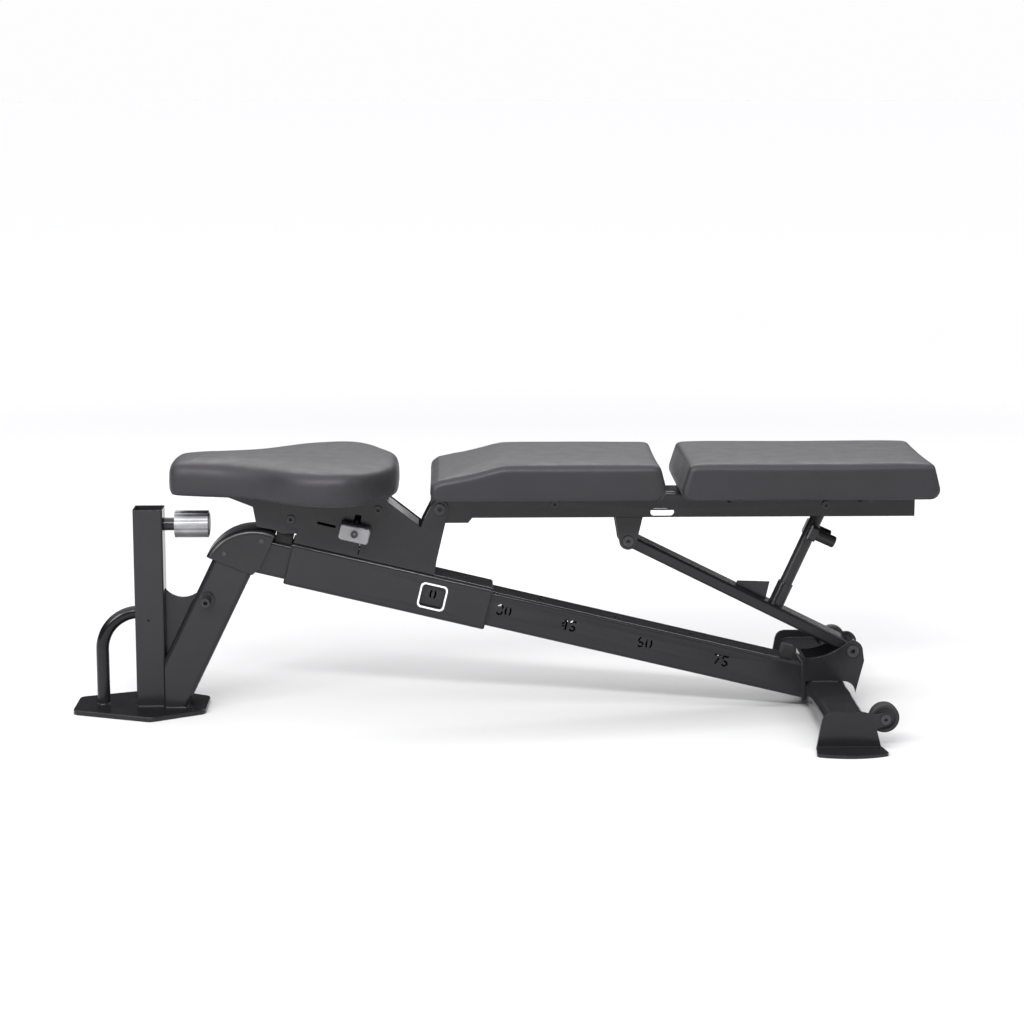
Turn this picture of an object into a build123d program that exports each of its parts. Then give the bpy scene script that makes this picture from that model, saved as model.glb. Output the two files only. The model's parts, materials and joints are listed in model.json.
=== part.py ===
"""Adjustable weight bench with a sliding carriage, in millimetres.

+X runs from the front foot to the head end, +Y to the left side of a person
lying on the bench, +Z up.  The origin is on the floor, under the middle of the
bench.  The bench is mirror-symmetric about the XZ plane except for the boss on
the front leg.

The carriage slides down the sloping main beam.  It carries the seat and the
hinge of the backrest, and a rigid strut ties the backrest to the rear bracket,
so that sliding the carriage to the rear raises the backrest.
"""
import os
from math import atan2, cos, degrees, radians, sin, sqrt, tan

from build123d import *

os.makedirs("parts", exist_ok=True)

# ---------------------------------------------------------------- driving sizes
HALF_LENGTH = 727.0        # front foot tip and head end, each side of the origin

BEAM_ANGLE = 13.5          # slope of the main beam, down towards the rear
BEAM_Z0 = 172.4            # height of the beam's axis above the origin
BEAM_H, BEAM_W = 60.0, 70.0
TUBE_R = 6.0               # corner radius of the square tubes
WALL = 3.0

LEG_ANGLE = 26.0           # lean of the front leg from the vertical
LEG_SIZE = 70.0
LEG_X0 = -576.9            # where the leg's axis would meet the floor

POST_X, POST_SIZE, POST_TOP = -596.0, 50.0, 348.0
PLATE_T = 8.0              # front base plate

SLEEVE_H, SLEEVE_W, SLEEVE_WALL = 74.0, 84.0, 3.5
SLEEVE_U0, SLEEVE_U1 = -368.0, -23.5
SIDE_T = 5.0               # carriage side plates
TRAVEL = 505.0             # carriage travel from 0 to 75 degrees
STOP_TRAVEL = (0.0, 124.0, 237.0, 371.0, 505.0)
STOP_ANGLES = ("0", "30", "45", "60", "75")
WINDOW_U = -119.0          # centre of the angle window in the sleeve
LOCK_U = -173.0            # axis of the lock pin in the carriage

HINGE = (-102.6, 350.9)    # backrest hinge, X and Z
LUG_PIVOT = (215.6, 293.5)  # strut's upper pivot
REAR_PIVOT = (600.9, 101.5)  # strut's lower pivot
PIVOT_R = 6.0              # pivot bolt radius
RUN = 0.05                 # radial running clearance

RAIL_W, RAIL_T = 72.0, 4.0
RAIL_Z0, RAIL_Z1 = 334.5, 378.0
RAIL_END = 701.0

BOARD_T = 12.0
PAD_BOTTOM, PAD_TOP = 380.0, 441.0
PAD_HALF = 142.0
SEAT_TOP = 438.0

BRACKET_W, CHEEK_T = 78.0, 5.0
FOOT_Y = 305.0             # outer face of the foot plates
FOOT_REACH = 361.0         # outer edge of the floor flanges
FOOT_T = 6.0
WHEEL = (614.0, 50.0)      # wheel centre, X and Z
WHEEL_R, WHEEL_W = 24.0, 20.0
AXLE_R = 4.0

# ------------------------------------------------------------ directions, frames
C, S = cos(radians(BEAM_ANGLE)), sin(radians(BEAM_ANGLE))
BEAM_DIR = (C, 0, -S)
BEAM_UP = (S, 0, C)
LEG_S, LEG_C = sin(radians(LEG_ANGLE)), cos(radians(LEG_ANGLE))
LEG_DIR = (LEG_S, 0, LEG_C)

# side view of the whole bench: local x is +X, local y is +Z
SIDE = Plane(origin=(0, 0, 0), x_dir=(1, 0, 0), z_dir=(0, -1, 0))
# side view along the beam: local x runs down the beam, local y square to it
BEAM_SIDE = Plane(origin=(0, 0, BEAM_Z0), x_dir=BEAM_DIR, z_dir=(0, -1, 0))


def beam_point(u, v, y=0.0):
    """The point u along the beam and v square to it."""
    return (u * C + v * S, y, BEAM_Z0 - u * S + v * C)


def beam_section(u):
    """Cross-section plane of the beam at u: local x is +Y, local y points up."""
    return Plane(origin=beam_point(u, 0), x_dir=(0, 1, 0), z_dir=BEAM_DIR)


def side_offset(y):
    """The side-view plane moved to +Y by y."""
    return Plane(origin=(0, y, 0), x_dir=(1, 0, 0), z_dir=(0, -1, 0))


def save(shape, name):
    """Label one finished piece and write it as a STEP file."""
    shape.label = name
    export_step(shape, f"parts/{name}.step")


def save_pair(one, other, name):
    """Write two matching solids, which stay separate, as one node."""
    save(Compound(children=[*one.solids(), *other.solids()]), name)


# where the leg's axis meets the beam's axis, and the mitre between them
_rise = (BEAM_Z0 - LEG_X0 * tan(radians(BEAM_ANGLE))) / (LEG_C + LEG_S * S / C)
ELBOW = (LEG_X0 + _rise * LEG_S, _rise * LEG_C)
_mx, _mz = C - LEG_S, -S - LEG_C
_ml = sqrt(_mx * _mx + _mz * _mz)
BISECTOR = (_mx / _ml, _mz / _ml)
MITRE = Plane(origin=(ELBOW[0], 0, ELBOW[1]), x_dir=(0, 1, 0), z_dir=(-BISECTOR[1], 0, BISECTOR[0]))
CORNER_CUT = 28.0
ELBOW_TOP = Plane(
    origin=(ELBOW[0] - CORNER_CUT * BISECTOR[0], 0, ELBOW[1] - CORNER_CUT * BISECTOR[1]),
    x_dir=(0, 1, 0),
    z_dir=(-BISECTOR[0], 0, -BISECTOR[1]),
)

# ------------------------------------------------------------------- front foot
PLATE_HALF_END, PLATE_HALF_MID = 48.0, 103.0
with BuildPart() as base_plate:
    with BuildSketch(Plane.XY):
        with BuildLine():
            Polyline(
                (-HALF_LENGTH, -PLATE_HALF_END),
                (-590, -PLATE_HALF_MID),
                (-502, -PLATE_HALF_END),
                (-502, PLATE_HALF_END),
                (-590, PLATE_HALF_MID),
                (-HALF_LENGTH, PLATE_HALF_END),
                close=True,
            )
        make_face()
        fillet(vertices(), 15)
    extrude(amount=PLATE_T)
    chamfer(edges().group_by(Axis.Z)[-1], 1)
save(base_plate.part, "base_plate")

PIN_Z = 320.0
PIN_R = 6.0
POST_RIGHT = POST_X + POST_SIZE / 2
POST_LEFT = POST_X - POST_SIZE / 2
with BuildPart() as receiver_post:
    with BuildSketch(Plane.XY.offset(PLATE_T)):
        with Locations((POST_X, 0)):
            RectangleRounded(POST_SIZE, POST_SIZE, 4)
            RectangleRounded(POST_SIZE - 2 * WALL, POST_SIZE - 2 * WALL, 2, mode=Mode.SUBTRACT)
    extrude(amount=POST_TOP - PLATE_T)
    # hole for the receiver pin, in the wall that faces the seat
    with BuildSketch(Plane.YZ.offset(POST_RIGHT + 1)):
        with Locations((0, PIN_Z)):
            Circle(PIN_R + 0.1)
    extrude(amount=-WALL - 2, mode=Mode.SUBTRACT)
    # drain hole low in the side wall
    with BuildSketch(side_offset(-POST_SIZE / 2 - 1)):
        with Locations((POST_X - 2, 158)):
            Circle(1.6)
    extrude(amount=-WALL - 2, mode=Mode.SUBTRACT)
save(receiver_post.part, "receiver_post")

with BuildPart() as front_leg:
    leg_foot = Plane(origin=(LEG_X0, 0, 0), x_dir=(0, 1, 0), z_dir=LEG_DIR)
    with BuildSketch(leg_foot.offset(-60)):
        RectangleRounded(LEG_SIZE, LEG_SIZE, 9)
        RectangleRounded(LEG_SIZE - 2 * WALL, LEG_SIZE - 2 * WALL, 6, mode=Mode.SUBTRACT)
    extrude(amount=480)
    split(bisect_by=Plane.XY.offset(PLATE_T), keep=Keep.TOP)
    split(bisect_by=Plane.YZ.offset(POST_RIGHT), keep=Keep.TOP)
    split(bisect_by=MITRE, keep=Keep.BOTTOM)
    split(bisect_by=ELBOW_TOP, keep=Keep.BOTTOM)
save(front_leg.part, "front_leg")

LEG_FACE_SLOPE = LEG_S / LEG_C
LEG_LEFT_X0 = LEG_X0 - LEG_SIZE / 2 / LEG_C
GUSSET_Z = 201.0
gusset_tip = (LEG_LEFT_X0 + GUSSET_Z * LEG_FACE_SLOPE, GUSSET_Z)
gusset_foot = (POST_RIGHT, (POST_RIGHT - LEG_LEFT_X0) / LEG_FACE_SLOPE)
with BuildPart() as post_gusset:
    with BuildSketch(SIDE):
        with BuildLine():
            ThreePointArc((POST_RIGHT, 209), (-546, 194), gusset_tip)
            Line(gusset_tip, gusset_foot)
            Line(gusset_foot, (POST_RIGHT, 209))
        make_face()
    extrude(amount=2.5, both=True)
save(post_gusset.part, "post_gusset")

HANDLE_X, HANDLE_BEND_Z, HANDLE_BEND_R = -680.0, 103.0, 65.0
HANDLE_R, HANDLE_BORE = 11.0, 9.0
with BuildPart() as lift_handle:
    with BuildLine(SIDE) as handle_path:
        Line((HANDLE_X, PLATE_T), (HANDLE_X, HANDLE_BEND_Z))
        CenterArc((HANDLE_X + HANDLE_BEND_R, HANDLE_BEND_Z), HANDLE_BEND_R, 180, -90)
    with BuildSketch(Plane.XY.offset(PLATE_T)):
        with Locations((HANDLE_X, 0)):
            Circle(HANDLE_R)
            Circle(HANDLE_BORE, mode=Mode.SUBTRACT)
    sweep(path=handle_path.line)
    split(bisect_by=Plane.YZ.offset(POST_LEFT), keep=Keep.BOTTOM)
save(lift_handle.part, "lift_handle")

# peg for an attachment, low on the leg's right-hand face
PEG_AXIS = (-497.0, 196.0)
LEG_PEG_R, LEG_PEG_LEN, LEG_COLLAR_R, LEG_COLLAR_T = 7.5, 26.0, 12.5, 6.0
with BuildPart() as leg_peg:
    with BuildSketch(side_offset(-LEG_SIZE / 2)):
        with Locations(PEG_AXIS):
            Circle(LEG_COLLAR_R)
    extrude(amount=LEG_COLLAR_T)
    with BuildSketch(side_offset(-LEG_SIZE / 2 - LEG_COLLAR_T)):
        with Locations(PEG_AXIS):
            Circle(LEG_PEG_R)
    extrude(amount=LEG_PEG_LEN)
    with BuildSketch(side_offset(-LEG_SIZE / 2 - LEG_COLLAR_T - LEG_PEG_LEN)):
        with Locations(PEG_AXIS):
            RegularPolygon(4.2, 6)
    extrude(amount=-8, mode=Mode.SUBTRACT)
save(leg_peg.part, "leg_peg")

# ------------------------------------------------------------------ receiver pin
COLLAR_LEN, COLLAR_R = 19.0, 11.0
KNOB_R, KNOB_LEN = 23.0, 57.0
SPRING_BORE, STEM_R = 8.6, 4.0
PIN_COLLAR_T = 3.0
PIN_NOSE_LEN = 18.0
FLUTES = 10
collar_end = POST_RIGHT + COLLAR_LEN
with BuildPart() as pin_housing:
    with BuildSketch(Plane.YZ.offset(POST_RIGHT)):
        with Locations((0, PIN_Z)):
            Circle(COLLAR_R)
            Circle(SPRING_BORE, mode=Mode.SUBTRACT)
    extrude(amount=COLLAR_LEN - 3)
    with BuildSketch(Plane.YZ.offset(collar_end - 3)):
        with Locations((0, PIN_Z)):
            Circle(COLLAR_R)
            Circle(STEM_R + RUN, mode=Mode.SUBTRACT)
    extrude(amount=3)
save(pin_housing.part, "pin_housing")

with BuildPart() as receiver_pin:
    with BuildSketch(Plane.YZ.offset(POST_RIGHT - PIN_NOSE_LEN)):
        with Locations((0, PIN_Z)):
            Circle(PIN_R)
    extrude(amount=PIN_NOSE_LEN)
    with BuildSketch(Plane.YZ.offset(POST_RIGHT)):
        with Locations((0, PIN_Z)):
            Circle(SPRING_BORE - 0.4)
    extrude(amount=PIN_COLLAR_T)
    with BuildSketch(Plane.YZ.offset(POST_RIGHT + PIN_COLLAR_T)):
        with Locations((0, PIN_Z)):
            Circle(STEM_R)
    extrude(amount=COLLAR_LEN + 8)
    chamfer(edges().filter_by(GeomType.CIRCLE).group_by(Axis.X)[0], 2)
save(receiver_pin.part, "receiver_pin")

knob_x0 = collar_end + 0.5
with BuildPart() as receiver_knob:
    with BuildSketch(Plane.YZ.offset(knob_x0)):
        with Locations((0, PIN_Z)):
            Circle(KNOB_R)
            with PolarLocations(KNOB_R + 6, FLUTES, start_angle=180 / FLUTES):
                Circle(6.9, mode=Mode.SUBTRACT)
    extrude(amount=KNOB_LEN)
    with BuildSketch(Plane.YZ.offset(knob_x0)):
        with Locations((0, PIN_Z)):
            Circle(STEM_R)
    extrude(amount=PIN_COLLAR_T + 8 - 0.5, mode=Mode.SUBTRACT)
save(receiver_knob.part, "receiver_knob")


def coil(start, direction, length, mean_r, wire_r, turns):
    """A compression spring: a helical wire of the given length along direction."""
    with BuildPart() as spring:
        with BuildLine() as path:
            Helix(pitch=length / turns, height=length, radius=mean_r, center=start, direction=direction)
        with BuildSketch(Plane(origin=path.line @ 0, z_dir=path.line % 0)):
            Circle(wire_r)
        sweep(path=path.line)
    return spring.part


save(coil((POST_RIGHT + PIN_COLLAR_T + 1, 0, PIN_Z), (1, 0, 0), 10.5, 6.6, 0.8, 4), "receiver_spring")


# ---------------------------------------------------------------------- main beam
def ring(centre_y, out_w, out_h, bar, start, sweep):
    """Part of an oval stroke of the given outer width and height."""
    half_w, half_h = out_w / 2 - bar / 2, out_h / 2 - bar / 2
    with BuildSketch(mode=Mode.PRIVATE) as stroke:
        with Locations((0, centre_y)):
            Ellipse(half_w + bar / 2, half_h + bar / 2)
            Ellipse(half_w - bar / 2, half_h - bar / 2, mode=Mode.SUBTRACT)
        # keep only the part between the two angles
        reach = 3 * out_h
        with BuildLine():
            steps = [start + sweep * k / 6 for k in range(7)]
            spokes = [(reach * cos(radians(s)), centre_y + reach * sin(radians(s))) for s in steps]
            Polyline((0, centre_y), *spokes, close=True)
        make_face(mode=Mode.INTERSECT)
    add(stroke.sketch)


def stencil_digit(character, height, width, bar):
    """One stencilled digit of rounded strokes, centred on the sketch's origin."""
    half_h, half_w = height / 2, width / 2
    loop = height * 0.56
    low_y, high_y = -half_h + loop / 2, half_h - loop / 2
    if character == "0":
        ring(0, width, height, bar, -68, 136)
        ring(0, width, height, bar, 112, 136)
    elif character == "3":
        ring(high_y, width, loop, bar, -40, 205)
        ring(low_y, width, loop, bar, -165, 195)
    elif character == "4":
        with Locations((half_w - bar, 0)):
            Rectangle(bar, height)
        with Locations((-bar * 0.75, -height * 0.16)):
            Rectangle(width - 2.6 * bar, bar)
        with Locations(Location((-bar * 0.6, height * 0.2, 0), (0, 0, 60))):
            Rectangle(height * 0.52, bar)
    elif character == "5":
        ring(low_y, width, loop, bar, -160, 285)
        with Locations((0.5, half_h - bar / 2)):
            Rectangle(width - 1, bar)
        with Locations((-half_w + bar / 2 + 0.4, half_h * 0.5)):
            Rectangle(bar, height * 0.2)
    elif character == "6":
        ring(low_y, width, loop, bar, -150, 128)
        ring(low_y, width, loop, bar, 0, 150)
        ring(0, width, height, bar, 95, 75)
    elif character == "7":
        with Locations((0, half_h - bar / 2)):
            Rectangle(width, bar)
        with Locations(Location((0.6, -bar * 0.75, 0), (0, 0, 66))):
            Rectangle(height * 0.74, bar)


DIGIT_H, DIGIT_W, DIGIT_BAR = 19.0, 11.5, 2.9
DIGIT_PITCH = 14.0
LOCK_HOLE_R = 6.5
BEAM_END_X = 515.0
with BuildPart() as main_beam:
    with BuildSketch(beam_section(-560)):
        RectangleRounded(BEAM_W, BEAM_H, TUBE_R)
        RectangleRounded(BEAM_W - 2 * WALL, BEAM_H - 2 * WALL, TUBE_R - WALL, mode=Mode.SUBTRACT)
    extrude(amount=1160)
    split(bisect_by=MITRE, keep=Keep.TOP)
    split(bisect_by=ELBOW_TOP, keep=Keep.BOTTOM)
    split(bisect_by=Plane.YZ.offset(BEAM_END_X), keep=Keep.BOTTOM)
    # angle numbers, cut through both side walls
    for travel, angle in zip(STOP_TRAVEL, STOP_ANGLES):
        for index, character in enumerate(angle):
            shift = (index - (len(angle) - 1) / 2) * DIGIT_PITCH
            centre = beam_point(WINDOW_U + travel + shift, 3)
            digit_plane = Plane(origin=centre, x_dir=BEAM_DIR, z_dir=(0, -1, 0))
            with BuildSketch(digit_plane):
                stencil_digit(character, DIGIT_H, DIGIT_W, DIGIT_BAR)
            extrude(amount=BEAM_W, both=True, mode=Mode.SUBTRACT)
    # lock holes in the top wall, one for each stop
    for travel in STOP_TRAVEL:
        hole_top = Plane(origin=beam_point(LOCK_U + travel, BEAM_H / 2 + 1), z_dir=BEAM_UP)
        with BuildSketch(hole_top):
            Circle(LOCK_HOLE_R)
        extrude(amount=-WALL - 2, mode=Mode.SUBTRACT)
save(main_beam.part, "main_beam")

# plastic shroud over the elbow, in two halves that meet on the centre plane
COVER_HALF = 39.5
COVER_GAP = 0.2
COVER_ROUND = 9.0
COVER_OUTLINE = ((-497, 270), (-440, 314.5), (-379, 309), (-407, 249), (-420, 238.5))


# the room that the leg and the beam take up inside the shroud
with BuildPart() as leg_space:
    with BuildSketch(leg_foot):
        RectangleRounded(LEG_SIZE + 2 * COVER_GAP, LEG_SIZE + 2 * COVER_GAP, 6)
    extrude(amount=480)
    split(bisect_by=MITRE, keep=Keep.BOTTOM)
with BuildPart() as beam_space:
    with BuildSketch(beam_section(-560)):
        RectangleRounded(LEG_SIZE + 2 * COVER_GAP, BEAM_H + 2 * COVER_GAP, 5)
    extrude(amount=300)
    split(bisect_by=MITRE, keep=Keep.TOP)
with BuildPart() as elbow_space:
    add(leg_space.part)
    add(beam_space.part)
    split(bisect_by=ELBOW_TOP.offset(COVER_GAP), keep=Keep.BOTTOM)


def elbow_cover(side):
    """One half of the elbow shroud; side is -1 for -Y and +1 for +Y."""
    with BuildPart() as cover:
        with BuildSketch(SIDE):
            with BuildLine():
                ThreePointArc(COVER_OUTLINE[0], COVER_OUTLINE[1], COVER_OUTLINE[2])
                Polyline(COVER_OUTLINE[2], COVER_OUTLINE[3], COVER_OUTLINE[4], COVER_OUTLINE[0])
            make_face()
        extrude(amount=-side * COVER_HALF)
        outer = cover.faces().sort_by(Axis.Y)[-1 if side > 0 else 0]
        fillet(outer.edges().filter_by(GeomType.CIRCLE), COVER_ROUND)
        add(elbow_space.part, mode=Mode.SUBTRACT)
    return cover.part


save_pair(elbow_cover(-1), elbow_cover(1), "elbow_covers")

COVER_SCREWS = ((-466.0, 276.0), (-403.0, 297.0))
with BuildPart() as elbow_screws:
    for side in (-1, 1):
        with BuildSketch(side_offset(side * COVER_HALF)):
            with Locations(*COVER_SCREWS):
                Circle(4)
        extrude(amount=-side * 1.6)
save(elbow_screws.part, "elbow_screws")

# --------------------------------------------------------------------- rear foot
BRACKET_WEB_T = 6.0
CHEEK_HEAD_R = 17.5
web_x1 = BEAM_END_X + BRACKET_WEB_T
with BuildPart() as rear_bracket:
    with BuildSketch(Plane.YZ.offset(BEAM_END_X)):
        with Locations((0, 51.5)):
            Rectangle(BRACKET_W, 76)
    extrude(amount=BRACKET_WEB_T)
    for side in (-1, 1):
        with BuildSketch(side_offset(side * (BRACKET_W / 2 - CHEEK_T))):
            with BuildLine():
                ThreePointArc((BEAM_END_X, 89.5), (556, 94.5), (584, 111))
                Polyline((584, 111), (600, 119), (618, 104), (621, 84), (607, 28))
                ThreePointArc((607, 28), (600, 43), (584, 48.2))
                Polyline((584, 48.2), (web_x1, 48.2), (web_x1, 15), (BEAM_END_X, 15), (BEAM_END_X, 89.5))
            make_face()
            with Locations(REAR_PIVOT):
                Circle(CHEEK_HEAD_R)
                Circle(PIVOT_R + RUN, mode=Mode.SUBTRACT)
        extrude(amount=-side * CHEEK_T)
save(rear_bracket.part, "rear_bracket")

CROSS_X0, CROSS_X1 = web_x1, 591.0
CROSS_Z0, CROSS_Z1 = 8.0, 48.0
cross_mid = ((CROSS_X0 + CROSS_X1) / 2, (CROSS_Z0 + CROSS_Z1) / 2)
cross_half = FOOT_Y - FOOT_T
with BuildPart() as cross_tube:
    with BuildSketch(SIDE):
        with Locations(cross_mid):
            RectangleRounded(CROSS_X1 - CROSS_X0, CROSS_Z1 - CROSS_Z0, 12)
            RectangleRounded(
                CROSS_X1 - CROSS_X0 - 2 * WALL, CROSS_Z1 - CROSS_Z0 - 2 * WALL, 9, mode=Mode.SUBTRACT
            )
    extrude(amount=cross_half, both=True)
save(cross_tube.part, "cross_tube")

EAR_R = 11.0


def foot_plate(side):
    """End plate of the cross tube, with its floor flange and the outer wheel ear."""
    inner = side * (FOOT_Y - FOOT_T)
    with BuildPart() as plate:
        with BuildSketch(side_offset(inner)):
            with BuildLine():
                Polyline((503, 0), (511, 48), (514, 55), (520, 60), (528, 62), (576, 62), (586, 59.5), (597, 58.5), (WHEEL[0], 61))
                ThreePointArc((WHEEL[0], 61), (WHEEL[0] + EAR_R, 50), (WHEEL[0], 39))
                Polyline((WHEEL[0], 39), (600, 34), (609, 0), (503, 0))
            make_face()
            with Locations(WHEEL):
                Circle(AXLE_R + RUN, mode=Mode.SUBTRACT)
        extrude(amount=-side * FOOT_T)
        # floor flange, its outer edge a shallow arc
        with BuildSketch(Plane.XY):
            with BuildLine():
                Polyline((503, side * FOOT_Y), (498, side * (FOOT_REACH - 12)))
                ThreePointArc(
                    (498, side * (FOOT_REACH - 12)), (554, side * FOOT_REACH), (615, side * (FOOT_REACH - 16))
                )
                Polyline((615, side * (FOOT_REACH - 16)), (609, side * FOOT_Y), (503, side * FOOT_Y))
            make_face()
            outer = vertices().sort_by(Axis.Y)
            fillet(outer[:2] if side < 0 else outer[-2:], 9)
        extrude(amount=5)
    return plate.part


def wheel_bracket(side):
    """Inner ear that carries the far end of a wheel's axle."""
    inner_face = FOOT_Y - FOOT_T - WHEEL_W - 2
    with BuildPart() as ear:
        with BuildSketch(side_offset(side * inner_face)):
            with BuildLine():
                Polyline((CROSS_X1, 42), (CROSS_X1, 24), (WHEEL[0], 39))
                ThreePointArc((WHEEL[0], 39), (WHEEL[0] + EAR_R, 50), (WHEEL[0], 61))
                Polyline((WHEEL[0], 61), (CROSS_X1, 42))
            make_face()
            with Locations(WHEEL):
                Circle(AXLE_R + RUN, mode=Mode.SUBTRACT)
        extrude(amount=side * 5)
    return ear.part


def wheel(side):
    """Solid rubber-tyred transport wheel with a shallow recess in each face."""
    middle = side * (FOOT_Y - FOOT_T - 1 - WHEEL_W / 2)
    with BuildPart() as tyre:
        with BuildSketch(side_offset(middle)):
            with Locations(WHEEL):
                Circle(WHEEL_R)
                Circle(AXLE_R + RUN, mode=Mode.SUBTRACT)
        extrude(amount=WHEEL_W / 2, both=True)
        for face_side in (-1, 1):
            with BuildSketch(side_offset(middle + face_side * WHEEL_W / 2)):
                with Locations(WHEEL):
                    Circle(17)
                    Circle(8, mode=Mode.SUBTRACT)
            extrude(amount=face_side * 2, mode=Mode.SUBTRACT)
        rims = tyre.edges().filter_by(GeomType.CIRCLE).filter_by(lambda e: e.radius > WHEEL_R - 1)
        fillet(rims, 3)
    return tyre.part


def wheel_axle(side):
    """Shoulder bolt through both ears, with a round head outside."""
    start = side * (FOOT_Y - FOOT_T - WHEEL_W - 2 - 5 - 4)
    with BuildPart() as bolt:
        with BuildSketch(side_offset(start)):
            with Locations(WHEEL):
                Circle(AXLE_R)
        extrude(amount=-side * (abs(side * FOOT_Y - start)))
        with BuildSketch(side_offset(side * FOOT_Y)):
            with Locations(WHEEL):
                Circle(8)
                RegularPolygon(2.6, 6, mode=Mode.SUBTRACT)
        extrude(amount=-side * 4)
    return bolt.part


save_pair(foot_plate(-1), foot_plate(1), "foot_plates")
save_pair(wheel_bracket(-1), wheel_bracket(1), "wheel_brackets")
save_pair(wheel_axle(-1), wheel_axle(1), "wheel_axles")
save(wheel(-1), "wheel_right")
save(wheel(1), "wheel_left")

# the lower pivot bolt, kept to the two cheeks: the gap between them stays open
with BuildPart() as rear_pivot_bolts:
    for side in (-1, 1):
        with BuildSketch(side_offset(side * (BRACKET_W / 2 - CHEEK_T))):
            with Locations(REAR_PIVOT):
                Circle(PIVOT_R)
        extrude(amount=-side * CHEEK_T)
        with BuildSketch(side_offset(side * BRACKET_W / 2)):
            with Locations(REAR_PIVOT):
                Circle(10)
                RegularPolygon(4, 6, mode=Mode.SUBTRACT)
        extrude(amount=-side * 5)
save(rear_pivot_bolts.part, "rear_pivot_bolts")

BUMPER_U0, BUMPER_LEN, BUMPER_H = 488.0, 19.0, 19.0
with BuildPart() as end_bumper:
    with BuildSketch(Plane(origin=beam_point(BUMPER_U0, BEAM_H / 2), x_dir=(0, 1, 0), z_dir=BEAM_DIR)):
        with Locations((0, BUMPER_H / 2)):
            Rectangle(34, BUMPER_H)
    extrude(amount=BUMPER_LEN)
    fillet(edges().filter_by(Axis((0, 0, 0), BEAM_DIR)).group_by(Axis.Z)[-1], 4)
save(end_bumper.part, "end_bumper")

FRONT_STOP_U0, FRONT_STOP_U1, FRONT_STOP_H = -399.6, -371.0, 31.0
with BuildPart() as front_bumper:
    with BuildSketch(Plane(origin=beam_point(FRONT_STOP_U0, BEAM_H / 2), x_dir=(0, 1, 0), z_dir=BEAM_DIR)):
        with Locations((0, FRONT_STOP_H / 2)):
            Rectangle(56, FRONT_STOP_H)
    extrude(amount=FRONT_STOP_U1 - FRONT_STOP_U0)
    fillet(edges().filter_by(Axis((0, 0, 0), BEAM_DIR)).group_by(Axis.Z)[-1], 5)
save(front_bumper.part, "front_bumper")

# ---------------------------------------------------------------------- carriage
WINDOW_W, WINDOW_H = 38.0, 35.0
LOCK_PIN_R = 6.0
GUIDE_R, GUIDE_BORE, GUIDE_H = 13.0, 10.0, 27.0
with BuildPart() as carriage_sleeve:
    with BuildSketch(beam_section(SLEEVE_U0)):
        RectangleRounded(SLEEVE_W, SLEEVE_H, 7)
        RectangleRounded(
            SLEEVE_W - 2 * SLEEVE_WALL, SLEEVE_H - 2 * SLEEVE_WALL, 7 - SLEEVE_WALL, mode=Mode.SUBTRACT
        )
    extrude(amount=SLEEVE_U1 - SLEEVE_U0)
    with BuildSketch(Plane(origin=beam_point(WINDOW_U, 0), x_dir=BEAM_DIR, z_dir=(0, -1, 0))):
        RectangleRounded(WINDOW_W, WINDOW_H, 5)
    extrude(amount=SLEEVE_W, both=True, mode=Mode.SUBTRACT)
    with BuildSketch(Plane(origin=beam_point(LOCK_U, SLEEVE_H / 2 + 1), z_dir=BEAM_UP)):
        Circle(LOCK_PIN_R + RUN)
    extrude(amount=-SLEEVE_WALL - 2, mode=Mode.SUBTRACT)
save(carriage_sleeve.part, "carriage_sleeve")

LINER_LEN, LINER_LIP = 26.0, 2.0
LINER_GAP = 0.3


def sleeve_liner(u_end, inward):
    """Plastic glide ring at one end of the sleeve; inward is +1 or -1 along the beam."""
    with BuildPart() as liner:
        with BuildSketch(beam_section(u_end)):
            RectangleRounded(SLEEVE_W - 2 * SLEEVE_WALL, SLEEVE_H - 2 * SLEEVE_WALL, 7 - SLEEVE_WALL)
            RectangleRounded(BEAM_W + 2 * LINER_GAP, BEAM_H + 2 * LINER_GAP, TUBE_R, mode=Mode.SUBTRACT)
        extrude(amount=inward * LINER_LEN)
        with BuildSketch(beam_section(u_end)):
            RectangleRounded(SLEEVE_W - 2, SLEEVE_H - 2, 6)
            RectangleRounded(BEAM_W + 2 * LINER_GAP, BEAM_H + 2 * LINER_GAP, TUBE_R, mode=Mode.SUBTRACT)
        extrude(amount=-inward * LINER_LIP)
    return liner.part


save_pair(sleeve_liner(SLEEVE_U0, 1), sleeve_liner(SLEEVE_U1, -1), "sleeve_liners")

# release bar and lock pin, in beam coordinates
BAR_U, BAR_V, BAR_R = -272.0, 80.0, 5.0
RELEASE_TRAVEL = 14.0
SEAT_BOLTS = ((-353.3, 335.0), (-206.6, 350.0))
BOLT_R = 4.0
sleeve_top = SLEEVE_H / 2
plate_front = beam_point(SLEEVE_U0, sleeve_top)
plate_rear = beam_point(-124.5, sleeve_top)
VALLEY = ((-188.8, 362.0), (-135.0, 320.0))
SEAT_BOTTOM = 379.0
SEAT_WEB_T = 4.0
PLATE_TOP = SEAT_BOTTOM - SEAT_WEB_T


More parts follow.
